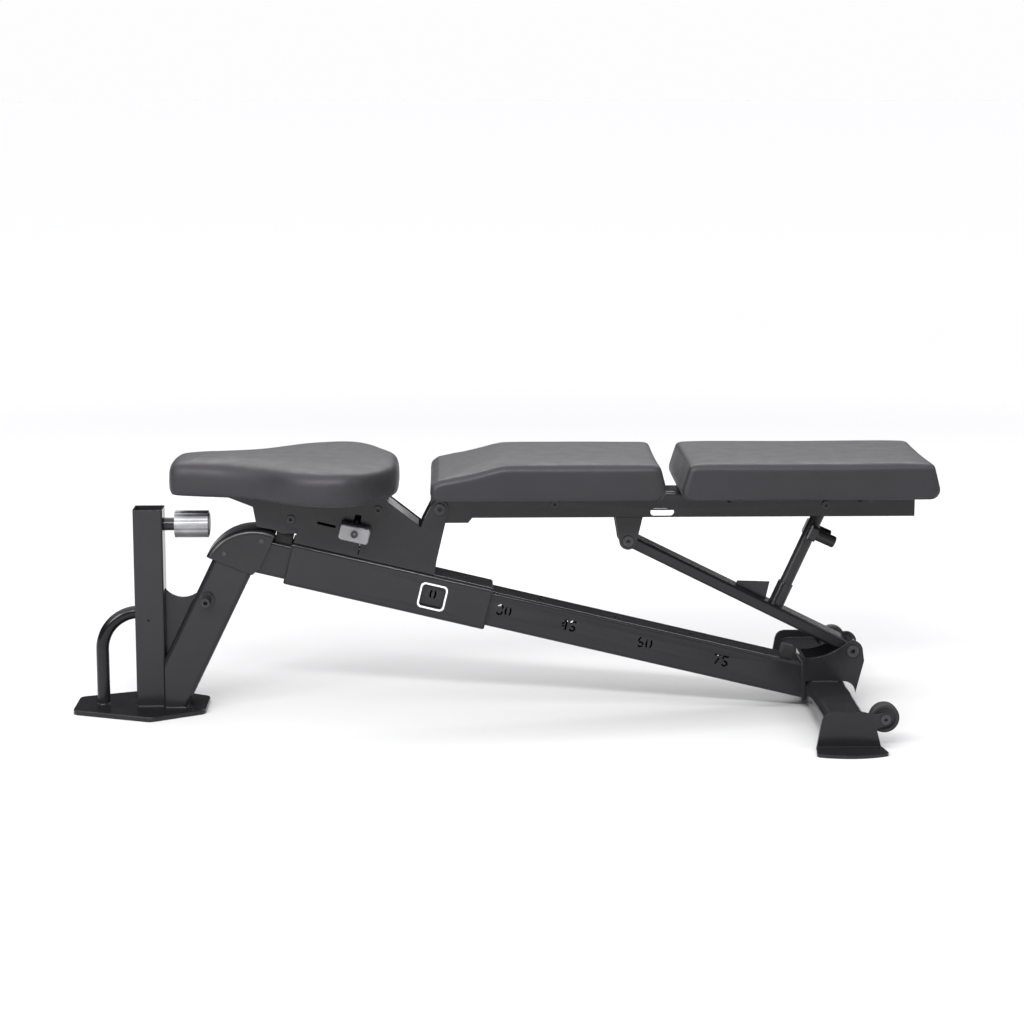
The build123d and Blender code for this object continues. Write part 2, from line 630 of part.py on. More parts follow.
def side_plate(side):
    """Upright plate on one side of the sleeve: seat mount in front, hinge ear behind."""
    with BuildPart() as plate:
        with BuildSketch(side_offset(side * (SLEEVE_W / 2 - SIDE_T))):
            with BuildLine():
                Polyline(
                    (plate_front[0], plate_front[2]),
                    (-341, 318),
                    (-361, 325),
                    (-369, 340),
                    (-369, PLATE_TOP),
                    (-196, PLATE_TOP),
                    VALLEY[0],
                    VALLEY[1],
                    (-131.5, 328),
                    (-116, 358),
                    (-90, 350),
                    (-93.5, 326),
                    (-108.3, 263),
                    (plate_rear[0], plate_rear[2]),
                    close=True,
                )
            make_face()
            with Locations(HINGE):
                Circle(15)
                Circle(PIVOT_R, mode=Mode.SUBTRACT)
            with Locations(*SEAT_BOLTS):
                Circle(BOLT_R, mode=Mode.SUBTRACT)
        extrude(amount=-side * SIDE_T)
        # slot for the release bar, the slot beside it and the slit below
        with BuildSketch(Plane(origin=beam_point(0, 0), x_dir=BEAM_DIR, z_dir=(0, -1, 0))):
            with Locations((BAR_U, BAR_V + 11.5)):
                RectangleRounded(2 * BAR_R + 1, 34, 3)
            with Locations((BAR_U - 49, BAR_V)):
                RectangleRounded(32, 4, 1.9)
            with Locations((BAR_U + 14, 51)):
                Rectangle(1.6, 18)
        extrude(amount=SLEEVE_W, both=True, mode=Mode.SUBTRACT)
    return plate.part


save_pair(side_plate(-1), side_plate(1), "carriage_plates")

COVER_T = 3.0
_vx, _vz = VALLEY[1][0] - VALLEY[0][0], VALLEY[1][1] - VALLEY[0][1]
_vl = sqrt(_vx * _vx + _vz * _vz)
valley_dir = (_vx / _vl, 0, _vz / _vl)
with BuildPart() as valley_cover:
    with BuildSketch(
        Plane(origin=(VALLEY[0][0], 0, VALLEY[0][1]), x_dir=(0, 1, 0), z_dir=valley_dir)
    ):
        with Locations((0, -COVER_T / 2 - 2)):
            Rectangle(SLEEVE_W - 2 * SIDE_T, COVER_T)
    extrude(amount=_vl - 3)
save(valley_cover.part, "valley_cover")

# raised frame round the angle window, one on each side of the sleeve
with BuildPart() as window_frames:
    for side in (-1, 1):
        with BuildSketch(
            Plane(origin=beam_point(WINDOW_U, 0, side * SLEEVE_W / 2), x_dir=BEAM_DIR, z_dir=(0, -1, 0))
        ):
            RectangleRounded(WINDOW_W + 9, WINDOW_H + 9, 8)
            RectangleRounded(WINDOW_W + 3, WINDOW_H + 3, 6, mode=Mode.SUBTRACT)
        extrude(amount=-side * 0.8)
save(window_frames.part, "window_frames")

SEAT_FRONT = -467.0
FLANGE_T = 4.5
flange_out = SLEEVE_W / 2 - SIDE_T
with BuildPart() as seat_bracket:
    with BuildSketch(Plane.XY.offset(PLATE_TOP)):
        with Locations(((SEAT_FRONT - 200) / 2, 0)):
            Rectangle(abs(SEAT_FRONT + 200), SLEEVE_W)
    extrude(amount=SEAT_WEB_T)
    for side in (-1, 1):
        with BuildSketch(side_offset(side * (flange_out - FLANGE_T))):
            with BuildLine():
                Polyline(
                    (SEAT_FRONT, PLATE_TOP), (-417, 355), (-411, 321), (-382, 316), (-369, 309), (-338, 309),
                    (-318, 350), (-300, 350), (-290, 360), (-224, 360), (-217, 342), (-198, 342),
                    (-197, PLATE_TOP), (SEAT_FRONT, PLATE_TOP),
                )
            make_face()
            with Locations(*SEAT_BOLTS):
                Circle(BOLT_R, mode=Mode.SUBTRACT)
        extrude(amount=-side * FLANGE_T)
save(seat_bracket.part, "seat_bracket")


def cross_bolt(centre, half_span, shank_r, head_r, head_t, key):
    """A bolt along Y from side to side, with a round socket head at each end."""
    with BuildPart() as bolt:
        with BuildSketch(SIDE):
            with Locations(centre):
                Circle(shank_r)
        extrude(amount=half_span, both=True)
        for side in (-1, 1):
            with BuildSketch(side_offset(side * half_span)):
                with Locations(centre):
                    Circle(head_r)
            extrude(amount=-side * head_t)
            with BuildSketch(side_offset(side * (half_span + head_t))):
                with Locations(centre):
                    RegularPolygon(key, 6)
            extrude(amount=side * head_t * 0.6, mode=Mode.SUBTRACT)
    return bolt.part


save(cross_bolt(HINGE, SLEEVE_W / 2, PIVOT_R, 9.5, 5, 3.6), "hinge_bolt")
with BuildPart() as seat_bolts:
    for side in (-1, 1):
        with BuildSketch(side_offset(side * (flange_out - FLANGE_T))):
            with Locations(*SEAT_BOLTS):
                Circle(BOLT_R)
        extrude(amount=-side * (SIDE_T + FLANGE_T))
        with BuildSketch(side_offset(side * SLEEVE_W / 2)):
            with Locations(*SEAT_BOLTS):
                Circle(7)
                RegularPolygon(2.8, 6, mode=Mode.SUBTRACT)
        extrude(amount=-side * 4)
save(seat_bolts.part, "seat_bolts")

# ------------------------------------------------------------------------- release
lock_base = Plane(origin=beam_point(LOCK_U, 0), x_dir=(0, 1, 0), z_dir=BEAM_UP)
GUIDE_R, GUIDE_BORE, GUIDE_TOP = 13.0, 10.0, 64.0
GUIDE_CAP = 3.0
LOCK_STEM_R = 4.0
NOSE_GAP = 0.3
COLLAR_V0, COLLAR_V1 = 38.0, 41.0
with BuildPart() as lock_guide:
    with BuildSketch(lock_base.offset(sleeve_top)):
        Circle(GUIDE_R)
        Circle(GUIDE_BORE, mode=Mode.SUBTRACT)
    extrude(amount=GUIDE_TOP - GUIDE_CAP - sleeve_top)
    with BuildSketch(lock_base.offset(GUIDE_TOP - GUIDE_CAP)):
        Circle(GUIDE_R)
        Circle(LOCK_STEM_R + RUN, mode=Mode.SUBTRACT)
    extrude(amount=GUIDE_CAP)
save(lock_guide.part, "lock_guide")

LEVER_T = 5.0
with BuildPart() as lock_pin:
    with BuildSketch(lock_base.offset(BEAM_H / 2 + NOSE_GAP)):
        Circle(LOCK_PIN_R)
    extrude(amount=COLLAR_V0 - BEAM_H / 2 - NOSE_GAP)
    with BuildSketch(lock_base.offset(COLLAR_V0)):
        Circle(GUIDE_BORE - 0.4)
    extrude(amount=COLLAR_V1 - COLLAR_V0)
    with BuildSketch(lock_base.offset(COLLAR_V1)):
        Circle(LOCK_STEM_R)
    extrude(amount=BAR_V - LEVER_T / 2 - COLLAR_V1)
save(lock_pin.part, "lock_pin")
save(
    coil(beam_point(LOCK_U, COLLAR_V1 + 1), BEAM_UP, GUIDE_TOP - GUIDE_CAP - COLLAR_V1 - 2, 7.0, 0.9, 4),
    "lock_spring",
)

# flat link from the lock pin to the cross bar
with BuildPart() as release_link:
    with BuildSketch(Plane(origin=beam_point(0, BAR_V - LEVER_T / 2), x_dir=BEAM_DIR, z_dir=BEAM_UP)):
        with Locations(((BAR_U + LOCK_U) / 2 + 2, 0)):
            Rectangle(LOCK_U - BAR_U + 12, 20)
    extrude(amount=LEVER_T)
    with BuildSketch(Plane(origin=beam_point(BAR_U, BAR_V), x_dir=BEAM_DIR, z_dir=(0, -1, 0))):
        Circle(BAR_R + 3)
    extrude(amount=10, both=True)
    with BuildSketch(Plane(origin=beam_point(BAR_U, BAR_V), x_dir=BEAM_DIR, z_dir=(0, -1, 0))):
        Circle(BAR_R)
    extrude(amount=10, both=True, mode=Mode.SUBTRACT)
save(release_link.part, "release_link")

GRIP_IN, GRIP_OUT = 46.0, 72.0
with BuildPart() as release_bar:
    with BuildSketch(Plane(origin=beam_point(BAR_U, BAR_V), x_dir=BEAM_DIR, z_dir=(0, -1, 0))):
        Circle(BAR_R)
    extrude(amount=GRIP_IN + 16, both=True)
save(release_bar.part, "release_bar")


def release_grip(side):
    """Block-shaped finger grip on one end of the release bar."""
    with BuildPart() as grip:
        with BuildSketch(
            Plane(origin=beam_point(BAR_U, BAR_V, side * GRIP_IN), x_dir=BEAM_DIR, z_dir=(0, -1, 0))
        ):
            RectangleRounded(52, 28, 6)
        extrude(amount=-side * (GRIP_OUT - GRIP_IN))
        outer = grip.faces().sort_by(Axis.Y)[-1 if side > 0 else 0]
        fillet(outer.edges(), 3.5)
        with BuildSketch(
            Plane(origin=beam_point(BAR_U, BAR_V, side * GRIP_IN), x_dir=BEAM_DIR, z_dir=(0, -1, 0))
        ):
            Circle(BAR_R)
        extrude(amount=-side * 16, mode=Mode.SUBTRACT)
    return grip.part


save_pair(release_grip(-1), release_grip(1), "release_grips")
with BuildPart() as grip_bolts:
    for side in (-1, 1):
        with BuildSketch(
            Plane(origin=beam_point(BAR_U, BAR_V, side * GRIP_OUT), x_dir=BEAM_DIR, z_dir=(0, -1, 0))
        ):
            Circle(6)
            RegularPolygon(2.6, 6, mode=Mode.SUBTRACT)
        extrude(amount=-side * 3)
save(grip_bolts.part, "grip_bolts")

# ------------------------------------------------------------------------- backrest
LUG_X0, LUG_X1, LUG_R = 193.5, 240.0, 15.0
LUG_T = 5.0
rail_half = RAIL_W / 2
with BuildPart() as back_rail:
    with BuildSketch(Plane.YZ.offset(-118)):
        with Locations((0, (RAIL_Z0 + RAIL_Z1) / 2)):
            Rectangle(RAIL_W, RAIL_Z1 - RAIL_Z0)
    extrude(amount=RAIL_END + 118)
    fillet(edges().filter_by(Axis.X).group_by(Axis.Z)[-1], 6)
    with BuildSketch(Plane.YZ.offset(-118)):
        with Locations((0, (RAIL_Z0 + RAIL_Z1 - RAIL_T) / 2)):
            Rectangle(RAIL_W - 2 * RAIL_T, RAIL_Z1 - RAIL_T - RAIL_Z0)
    extrude(amount=RAIL_END + 118 - RAIL_T, mode=Mode.SUBTRACT)
    for side in (-1, 1):
        # doubler that carries the hinge bolt
        with BuildSketch(side_offset(side * (rail_half - RAIL_T))):
            with BuildLine():
                Polyline(
                    (-114, 339), (-104, 331), (-95, 326), (-55, 326), (-48, RAIL_Z0), (-48, 345), (-114, 345),
                    close=True,
                )
            make_face()
        extrude(amount=-side * RAIL_T)
    # bore the bolt holes and the slot
    with BuildSketch(SIDE):
        with Locations(HINGE):
            Circle(PIVOT_R + RUN)
        with Locations((91, 358)):
            Circle(BOLT_R)
        with Locations((550, 354.5)):
            Circle(BOLT_R)
        with Locations((273, 343)):
            SlotOverall(40, 13)
    extrude(amount=RAIL_W, both=True, mode=Mode.SUBTRACT)
save(back_rail.part, "back_rail")

with BuildPart() as strut_lugs:
    for side in (-1, 1):
        with BuildSketch(side_offset(side * (rail_half - LUG_T))):
            with BuildLine():
                Polyline(
                    (LUG_X0, RAIL_Z0), (LUG_PIVOT[0] - LUG_R, LUG_PIVOT[1]),
                    (LUG_PIVOT[0] + LUG_R, LUG_PIVOT[1]), (LUG_X1, RAIL_Z0),
                    close=True,
                )
            make_face()
            with Locations(LUG_PIVOT):
                Circle(LUG_R)
                Circle(PIVOT_R, mode=Mode.SUBTRACT)
        extrude(amount=-side * LUG_T)
save(strut_lugs.part, "strut_lugs")
save(cross_bolt(LUG_PIVOT, rail_half, PIVOT_R, 9, 5, 3.6), "lug_bolt")
save(cross_bolt((91, 358), rail_half, BOLT_R, 7, 4, 2.8), "rail_bolt")
save(cross_bolt((550, 354.5), rail_half, BOLT_R, 7, 4, 2.8), "rest_bolt")

# ------------------------------------------------------------------------- cushions
SEAT_PLAN = (
    (-557, 0), (-554, 40), (-545, 65), (-498, 79), (-448, 92), (-398, 122), (-345, 168),
    (-300, 190), (-270, 195), (-240, 186), (-215, 158), (-190, 108), (-176, 78), (-172, 50), (-172, 0),
)


def seat_outline(inset):
    """The seat's plan as a list of points, pulled in by a scale about its middle."""
    mid, half = -364.5, 192.5
    k = (half - inset) / half
    near = [(mid + (x - mid) * k, y * (195 - inset) / 195) for x, y in SEAT_PLAN]
    far = [(x, -y) for x, y in reversed(near[1:-1])]
    return near + far


with BuildPart() as seat_board:
    with BuildSketch(Plane.XY.offset(SEAT_BOTTOM)):
        with BuildLine():
            Polyline(*seat_outline(14), close=True)
        make_face()
    extrude(amount=BOARD_T)
save(seat_board.part, "seat_board")

with BuildPart() as seat_pad:
    with BuildSketch(Plane.XY.offset(SEAT_BOTTOM)):
        with BuildLine():
            Polyline(*seat_outline(0), close=True)
        make_face()
    extrude(amount=SEAT_TOP - SEAT_BOTTOM)
    chamfer(faces().sort_by(Axis.Z)[-1].edges(), 14)
    with BuildSketch(Plane.XY.offset(SEAT_BOTTOM)):
        with BuildLine():
            Polyline(*seat_outline(14), close=True)
        make_face()
    extrude(amount=BOARD_T, mode=Mode.SUBTRACT)
save(seat_pad.part, "seat_pad")


def pad_board(x0, x1):
    """Plywood board let into the underside of a back pad."""
    with BuildPart() as board:
        with BuildSketch(Plane.XY.offset(PAD_BOTTOM)):
            with Locations(((x0 + x1) / 2, 0)):
                RectangleRounded(x1 - x0, 2 * PAD_HALF - 24, 12)
        extrude(amount=BOARD_T)
    return board.part


def back_pad(profile, board_x0, board_x1):
    """Upholstered pad from its side profile, with a recess for the board."""
    with BuildPart() as pad:
        with BuildSketch(SIDE):
            with BuildLine():
                Polyline(*profile, close=True)
            make_face()
        extrude(amount=PAD_HALF, both=True)
        top = pad.edges().filter_by(Axis.X).group_by(Axis.Z)[-1]
        fillet(top, 16)
        with BuildSketch(Plane.XY.offset(PAD_BOTTOM)):
            with Locations(((board_x0 + board_x1) / 2, 0)):
                RectangleRounded(board_x1 - board_x0, 2 * PAD_HALF - 24, 12)
        extrude(amount=BOARD_T, mode=Mode.SUBTRACT)
    return pad.part


LOWER_PROFILE = (
    (-112, PAD_BOTTOM), (-120, 392), (-118, 406), (-105, 416), (-60, 425), (-12, 439), (2, PAD_TOP),
    (258, PAD_TOP), (263, 437), (272, 402), (271, 390), (264, PAD_BOTTOM),
)
HEAD_PROFILE = (
    (303, PAD_BOTTOM), (297, 387), (296, 398), (307, 438), (312, PAD_TOP), (713, PAD_TOP), (718, 438),
    (HALF_LENGTH, 396), (725, 388), (717, PAD_BOTTOM),
)
LOWER_BOARD = (-100.0, 250.0)
HEAD_BOARD = (316.0, 705.0)
save(pad_board(*LOWER_BOARD), "lower_back_board")
save(back_pad(LOWER_PROFILE, *LOWER_BOARD), "lower_back_pad")
save(pad_board(*HEAD_BOARD), "head_board")
save(back_pad(HEAD_PROFILE, *HEAD_BOARD), "head_pad")

# cross brackets between the rail and the boards
BRACKETS = ((-13.0, 34.0), (384.0, 34.0), (605.0, 34.0))
with BuildPart() as pad_brackets:
    for x, length in BRACKETS:
        with BuildSketch(Plane.XY.offset(RAIL_Z1)):
            with Locations((x + length / 2, 0)):
                Rectangle(length, 180)
        extrude(amount=PAD_BOTTOM - RAIL_Z1)
        # stiffening web under each half of the bracket
        if x > 0:
            for side in (-1, 1):
                with BuildSketch(Plane.YZ.offset(x)):
                    with BuildLine():
                        Polyline(
                            (side * rail_half, RAIL_Z1), (side * rail_half, 360), (side * (rail_half + 10), 360),
                            (side * 88, 374), (side * 88, RAIL_Z1), close=True,
                        )
                    make_face()
                extrude(amount=3)
save(pad_brackets.part, "pad_brackets")
with BuildPart() as pad_screws:
    for x in (405.0, 627.0):
        for side in (-1, 1):
            with BuildSketch(side_offset(side * rail_half)):
                with Locations((x, 364)):
                    Circle(5)
                    RegularPolygon(2.2, 6, mode=Mode.SUBTRACT)
            extrude(amount=-side * 3)
save(pad_screws.part, "pad_screws")

# ---------------------------------------------------------------------------- strut
STRUT_H, STRUT_W = 20.0, 60.0
STRUT_WALL = 2.5
BARREL_R = 13.0
strut_dx, strut_dz = REAR_PIVOT[0] - LUG_PIVOT[0], REAR_PIVOT[1] - LUG_PIVOT[1]
STRUT_LEN = sqrt(strut_dx * strut_dx + strut_dz * strut_dz)
strut_dir = (strut_dx / STRUT_LEN, 0, strut_dz / STRUT_LEN)
strut_up = (-strut_dz / STRUT_LEN, 0, strut_dx / STRUT_LEN)


def strut_point(s, n, y=0.0):
    """The point s along the strut from its upper pivot and n above its axis."""
    return (
        LUG_PIVOT[0] + s * strut_dir[0] + n * strut_up[0],
        y,
        LUG_PIVOT[1] + s * strut_dir[2] + n * strut_up[2],
    )


with BuildPart() as strut:
    with BuildSketch(Plane(origin=strut_point(0, 0), x_dir=(0, 1, 0), z_dir=strut_dir)):
        RectangleRounded(STRUT_W, STRUT_H, 4)
    extrude(amount=STRUT_LEN)
    for centre in (LUG_PIVOT, REAR_PIVOT):
        with BuildSketch(SIDE):
            with Locations(centre):
                Circle(BARREL_R)
        extrude(amount=STRUT_W / 2, both=True)
    with BuildSketch(Plane(origin=strut_point(BARREL_R + 4, 0), x_dir=(0, 1, 0), z_dir=strut_dir)):
        RectangleRounded(STRUT_W - 2 * STRUT_WALL, STRUT_H - 2 * STRUT_WALL, 1.5)
    extrude(amount=STRUT_LEN - 2 * BARREL_R - 8, mode=Mode.SUBTRACT)
    with BuildSketch(SIDE):
        with Locations(LUG_PIVOT, REAR_PIVOT):
            Circle(PIVOT_R + RUN)
    extrude(amount=STRUT_W, both=True, mode=Mode.SUBTRACT)
save(strut.part, "strut")

POST_BASE, POST_HEAD = (482.0, 197.0), (544.0, 335.0)
post_dx, post_dz = POST_HEAD[0] - POST_BASE[0], POST_HEAD[1] - POST_BASE[1]
POST_LEN = sqrt(post_dx * post_dx + post_dz * post_dz)
post_dir = (post_dx / POST_LEN, 0, post_dz / POST_LEN)
post_side = (post_dz / POST_LEN, 0, -post_dx / POST_LEN)
SUPPORT_R = 11.0
# distance back along the post to the strut's upper face
_s_at_post = (POST_BASE[0] - LUG_PIVOT[0]) * strut_dir[0] + (POST_BASE[1] - LUG_PIVOT[1]) * strut_dir[2]
_n_at_post = (POST_BASE[0] - LUG_PIVOT[0]) * strut_up[0] + (POST_BASE[1] - LUG_PIVOT[1]) * strut_up[2]
_along = post_dir[0] * strut_up[0] + post_dir[2] * strut_up[2]
_drop = (_n_at_post - STRUT_H / 2) / _along


def post_point(t, y=0.0):
    """The point t along the support post from its reference base."""
    return (POST_BASE[0] + t * post_dir[0], y, POST_BASE[1] + t * post_dir[2])


above_strut = Plane(
    origin=strut_point(_s_at_post, STRUT_H / 2), x_dir=(0, 1, 0), z_dir=strut_up
)
SOCKET_R, SOCKET_TOP = 13.5, 18.0
with BuildPart() as post_socket:
    with BuildSketch(Plane(origin=post_point(-_drop - 20), x_dir=(0, 1, 0), z_dir=post_dir)):
        Circle(SOCKET_R)
        Circle(SUPPORT_R, mode=Mode.SUBTRACT)
    extrude(amount=_drop + 20 + SOCKET_TOP)
    split(bisect_by=above_strut, keep=Keep.TOP)
save(post_socket.part, "post_socket")

CAP_T = 5.0
with BuildPart() as support_post:
    with BuildSketch(Plane(origin=post_point(-_drop - 20), x_dir=(0, 1, 0), z_dir=post_dir)):
        Circle(SUPPORT_R)
    extrude(amount=_drop + 20 + POST_LEN - CAP_T)
    split(bisect_by=above_strut, keep=Keep.TOP)
save(support_post.part, "support_post")
with BuildPart() as post_cap:
    with BuildSketch(Plane(origin=post_point(POST_LEN - CAP_T), x_dir=(0, 1, 0), z_dir=post_dir)):
        Circle(SUPPORT_R)
    extrude(amount=CAP_T)
    chamfer(edges().filter_by(GeomType.CIRCLE).group_by(Axis.Z)[-1], 1.5)
save(post_cap.part, "post_cap")

# rubber stop that the post meets inside the rail
REST_GAP = 0.5
with BuildPart() as rest_block:
    with BuildSketch(Plane.XY.offset(RAIL_Z0)):
        with Locations((552, 0)):
            Rectangle(44, RAIL_W - 2 * RAIL_T)
    extrude(amount=RAIL_Z1 - RAIL_T - RAIL_Z0)
    split(
        bisect_by=Plane(origin=post_point(POST_LEN + REST_GAP), x_dir=(0, 1, 0), z_dir=post_dir),
        keep=Keep.TOP,
    )
    with BuildSketch(SIDE):
        with Locations((550, 354.5)):
            Circle(BOLT_R)
    extrude(amount=RAIL_W, both=True, mode=Mode.SUBTRACT)
save(rest_block.part, "rest_block")

# two guide pegs beside the post, on a plate behind it
PEG_R, PEG_LEN, PEG_Y = 10.0, 40.0, 30.0
PEG_T = 118.0
peg_base = post_point(PEG_T)
with BuildPart() as peg_yoke:
    with BuildSketch(Plane(origin=peg_base, x_dir=(0, 1, 0), z_dir=post_side).offset(-6)):
        RectangleRounded(2 * (PEG_Y + PEG_R), 26, 5)
    extrude(amount=12)
    with BuildSketch(Plane(origin=peg_base, x_dir=(0, 1, 0), z_dir=post_dir)):
        Circle(SUPPORT_R)
    extrude(amount=40, both=True, mode=Mode.SUBTRACT)
save(peg_yoke.part, "peg_yoke")


def peg(side):
    """One rubber-sleeved peg, standing square to the post."""
    start = (peg_base[0] + 6 * post_side[0], side * PEG_Y, peg_base[2] + 6 * post_side[2])
    with BuildPart() as piece:
        with BuildSketch(Plane(origin=start, x_dir=(0, 1, 0), z_dir=post_side)):
            Circle(PEG_R)
        extrude(amount=PEG_LEN - 6)
        chamfer(piece.edges().filter_by(GeomType.CIRCLE).group_by(Axis.X)[-1], 1.5)
    return piece.part


save_pair(peg(-1), peg(1), "pegs")

with BuildPart() as strut_gusset:
    with BuildSketch(SIDE):
        with BuildLine():
            low = strut_point(205, STRUT_H / 2)
            high = strut_point(262, STRUT_H / 2)
            Polyline((low[0], low[2]), (406, 217), (461, 215), (high[0], high[2]), close=True)
        make_face()
    extrude(amount=2.5, both=True)
    with BuildSketch(Plane(origin=post_point(-_drop - 20), x_dir=(0, 1, 0), z_dir=post_dir)):
        Circle(SOCKET_R)
    extrude(amount=120, mode=Mode.SUBTRACT)
save(strut_gusset.part, "strut_gusset")
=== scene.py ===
"""Looks of the adjustable weight bench, in metres, in the CAD model's frame.

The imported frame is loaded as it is.  The three cushions are rebuilt as inflated
vinyl covers, weld beads and a knob cap are added, and every surface gets a
procedural material.
"""

import json
import math

import bmesh
import bpy
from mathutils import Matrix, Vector, noise


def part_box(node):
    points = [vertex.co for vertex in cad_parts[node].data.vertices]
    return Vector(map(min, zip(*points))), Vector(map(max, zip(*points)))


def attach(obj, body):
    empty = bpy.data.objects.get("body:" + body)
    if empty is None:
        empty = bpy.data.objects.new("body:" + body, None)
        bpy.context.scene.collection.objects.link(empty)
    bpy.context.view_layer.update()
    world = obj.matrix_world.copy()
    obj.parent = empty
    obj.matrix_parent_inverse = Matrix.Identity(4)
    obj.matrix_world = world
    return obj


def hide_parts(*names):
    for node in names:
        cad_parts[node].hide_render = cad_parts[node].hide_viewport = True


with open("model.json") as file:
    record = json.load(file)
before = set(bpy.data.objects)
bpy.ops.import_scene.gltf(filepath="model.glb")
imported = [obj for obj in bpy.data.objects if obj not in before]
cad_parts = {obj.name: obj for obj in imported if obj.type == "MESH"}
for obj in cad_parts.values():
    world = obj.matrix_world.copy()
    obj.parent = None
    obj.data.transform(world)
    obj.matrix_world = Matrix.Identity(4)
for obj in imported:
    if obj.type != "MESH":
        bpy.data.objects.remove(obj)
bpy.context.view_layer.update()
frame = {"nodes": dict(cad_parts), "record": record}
NODES = frame["nodes"]


# ------------------------------------------------------------------ camera, light
def aim(obj, target):
    """Turn an object so that its -Z looks at a point."""
    toward = Vector(target) - obj.location
    obj.rotation_euler = toward.to_track_quat("-Z", "Y").to_euler()


def place(name, data, location, target):
    """Link a camera or a light that looks at a point."""
    obj = bpy.data.objects.new(name, data)
    obj.location = location
    bpy.context.collection.objects.link(obj)
    aim(obj, target)
    return obj


def softbox(name, location, target, size, power):
    """A rectangular area light."""
    data = bpy.data.lights.new(name, "AREA")
    data.shape = "RECTANGLE"
    data.size, data.size_y = size
    data.energy = power
    place(name, data, location, target)


CAMERA_LOCATION = (-0.0904, -4.3315, 1.1034)
CAMERA_TARGET = (0.020, 0.0, 0.338)
camera_data = bpy.data.cameras.new("camera")
camera_data.lens = 90.95
camera_data.sensor_width = 36.0
bpy.context.scene.camera = place("camera", camera_data, CAMERA_LOCATION, CAMERA_TARGET)

# a dome that is dark low down and bright overhead; the camera sees a plain backdrop
SKY_STOPS = ((0.30, 0.035), (0.92, 1.35))
BACKDROP = (0.985, 0.985, 0.985, 1.0)
world = bpy.data.worlds.new("studio")
world.use_nodes = True
sky = world.node_tree
sky_dome = sky.nodes["Background"]
sky_coords = sky.nodes.new("ShaderNodeTexCoord")
sky_split = sky.nodes.new("ShaderNodeSeparateXYZ")
sky_ramp = sky.nodes.new("ShaderNodeValToRGB")
for element, (position, level) in zip(sky_ramp.color_ramp.elements, SKY_STOPS):
    element.position = position
    element.color = (level, level, level * 1.02, 1.0)
sky_backdrop = sky.nodes.new("ShaderNodeBackground")
sky_backdrop.inputs[0].default_value = BACKDROP
sky_path = sky.nodes.new("ShaderNodeLightPath")
sky_mix = sky.nodes.new("ShaderNodeMixShader")
for source, socket in (
    (sky_coords.outputs["Generated"], sky_split.inputs[0]),
    (sky_split.outputs["Z"], sky_ramp.inputs["Fac"]),
    (sky_ramp.outputs["Color"], sky_dome.inputs[0]),
    (sky_path.outputs["Is Camera Ray"], sky_mix.inputs["Fac"]),
    (sky_dome.outputs[0], sky_mix.inputs[1]),
    (sky_backdrop.outputs[0], sky_mix.inputs[2]),
    (sky_mix.outputs[0], sky.nodes["World Output"].inputs["Surface"]),
):
    sky.links.new(source, socket)
bpy.context.scene.world = world
bpy.context.scene.view_settings.view_transform = "Standard"

sun_data = bpy.data.lights.new("soft_sun", "SUN")
sun_data.energy = 1.55
sun_data.angle = 1.7
place("soft_sun", sun_data, (-0.8, -0.2, 3.0), (0.0, 0.0, 0.3))
softbox("left_box", (-2.4, -1.9, 1.6), (-0.1, 0, 0.35), size=(0.9, 1.1), power=42)
softbox("right_box", (2.6, -0.9, 1.7), (0.2, 0, 0.35), size=(0.7, 1.3), power=20)
softbox("back_box", (0.2, 2.2, 1.9), (0.1, 0, 0.4), size=(2.8, 0.5), power=30)
softbox("front_strip", (-0.5, -2.6, 2.1), (0.0, 0, 0.40), size=(2.4, 0.30), power=95)


# --------------------------------------------------------------- material building
BEVEL_SAMPLES = 6
NOISE_LOW, NOISE_HIGH = 0.3, 0.7     # the part of a noise factor's range that is used
# convex edges are painted lighter: partly edge wear, partly a painted highlight
WEAR_AND_HIGHLIGHT_START, WEAR_AND_HIGHLIGHT_FULL = 0.52, 0.62   # pointiness at which edge wear and a painted highlight begin and are full
WEAR_AND_HIGHLIGHT_AMOUNT = 0.4
COAT_ROUGHNESS = 0.12
BRUSH_SCALE, BRUSH_LENGTHWISE = 900.0, 45.0
GRAIN_STRETCH = (6.0, 160.0, 160.0)


def start_material(name):
    """A new material: itself, its node tree, its shader and its object coordinates."""
    material = bpy.data.materials.new(name)
    material.use_nodes = True
    tree = material.node_tree
    shader = tree.nodes["Principled BSDF"]
    coords = tree.nodes.new("ShaderNodeTexCoord")
    return material, tree, shader, coords.outputs["Object"]


def add_noise(tree, coords, scale, detail=3.0, roughness=0.55):
    """A noise texture in metres; returns its factor output."""
    node = tree.nodes.new("ShaderNodeTexNoise")
    node.inputs["Scale"].default_value = scale
    node.inputs["Detail"].default_value = detail
    node.inputs["Roughness"].default_value = roughness
    tree.links.new(coords, node.inputs["Vector"])
    return node.outputs["Fac"]


def add_stretch(tree, coords, scale):
    """Coordinates scaled on each axis; returns the mapped vector."""
    node = tree.nodes.new("ShaderNodeMapping")
    node.inputs["Scale"].default_value = scale
    tree.links.new(coords, node.inputs["Vector"])
    return node.outputs["Vector"]


def add_ramp(tree, source, stops):
    """A colour ramp with (position, colour) stops; returns its colour output."""
    node = tree.nodes.new("ShaderNodeValToRGB")
    while len(node.color_ramp.elements) < len(stops):
        node.color_ramp.elements.new(0.5)
    for element, (position, colour) in zip(node.color_ramp.elements, stops):
        element.position = position
        element.color = (*colour, 1.0)
    tree.links.new(source, node.inputs["Fac"])
    return node.outputs["Color"]


def add_range(tree, source, low, high):
    """Map the used part of a noise factor to the range low to high."""
    node = tree.nodes.new("ShaderNodeMapRange")
    node.inputs["From Min"].default_value = NOISE_LOW
    node.inputs["From Max"].default_value = NOISE_HIGH
    node.inputs["To Min"].default_value = low
    node.inputs["To Max"].default_value = high
    tree.links.new(source, node.inputs["Value"])
    return node.outputs["Result"]


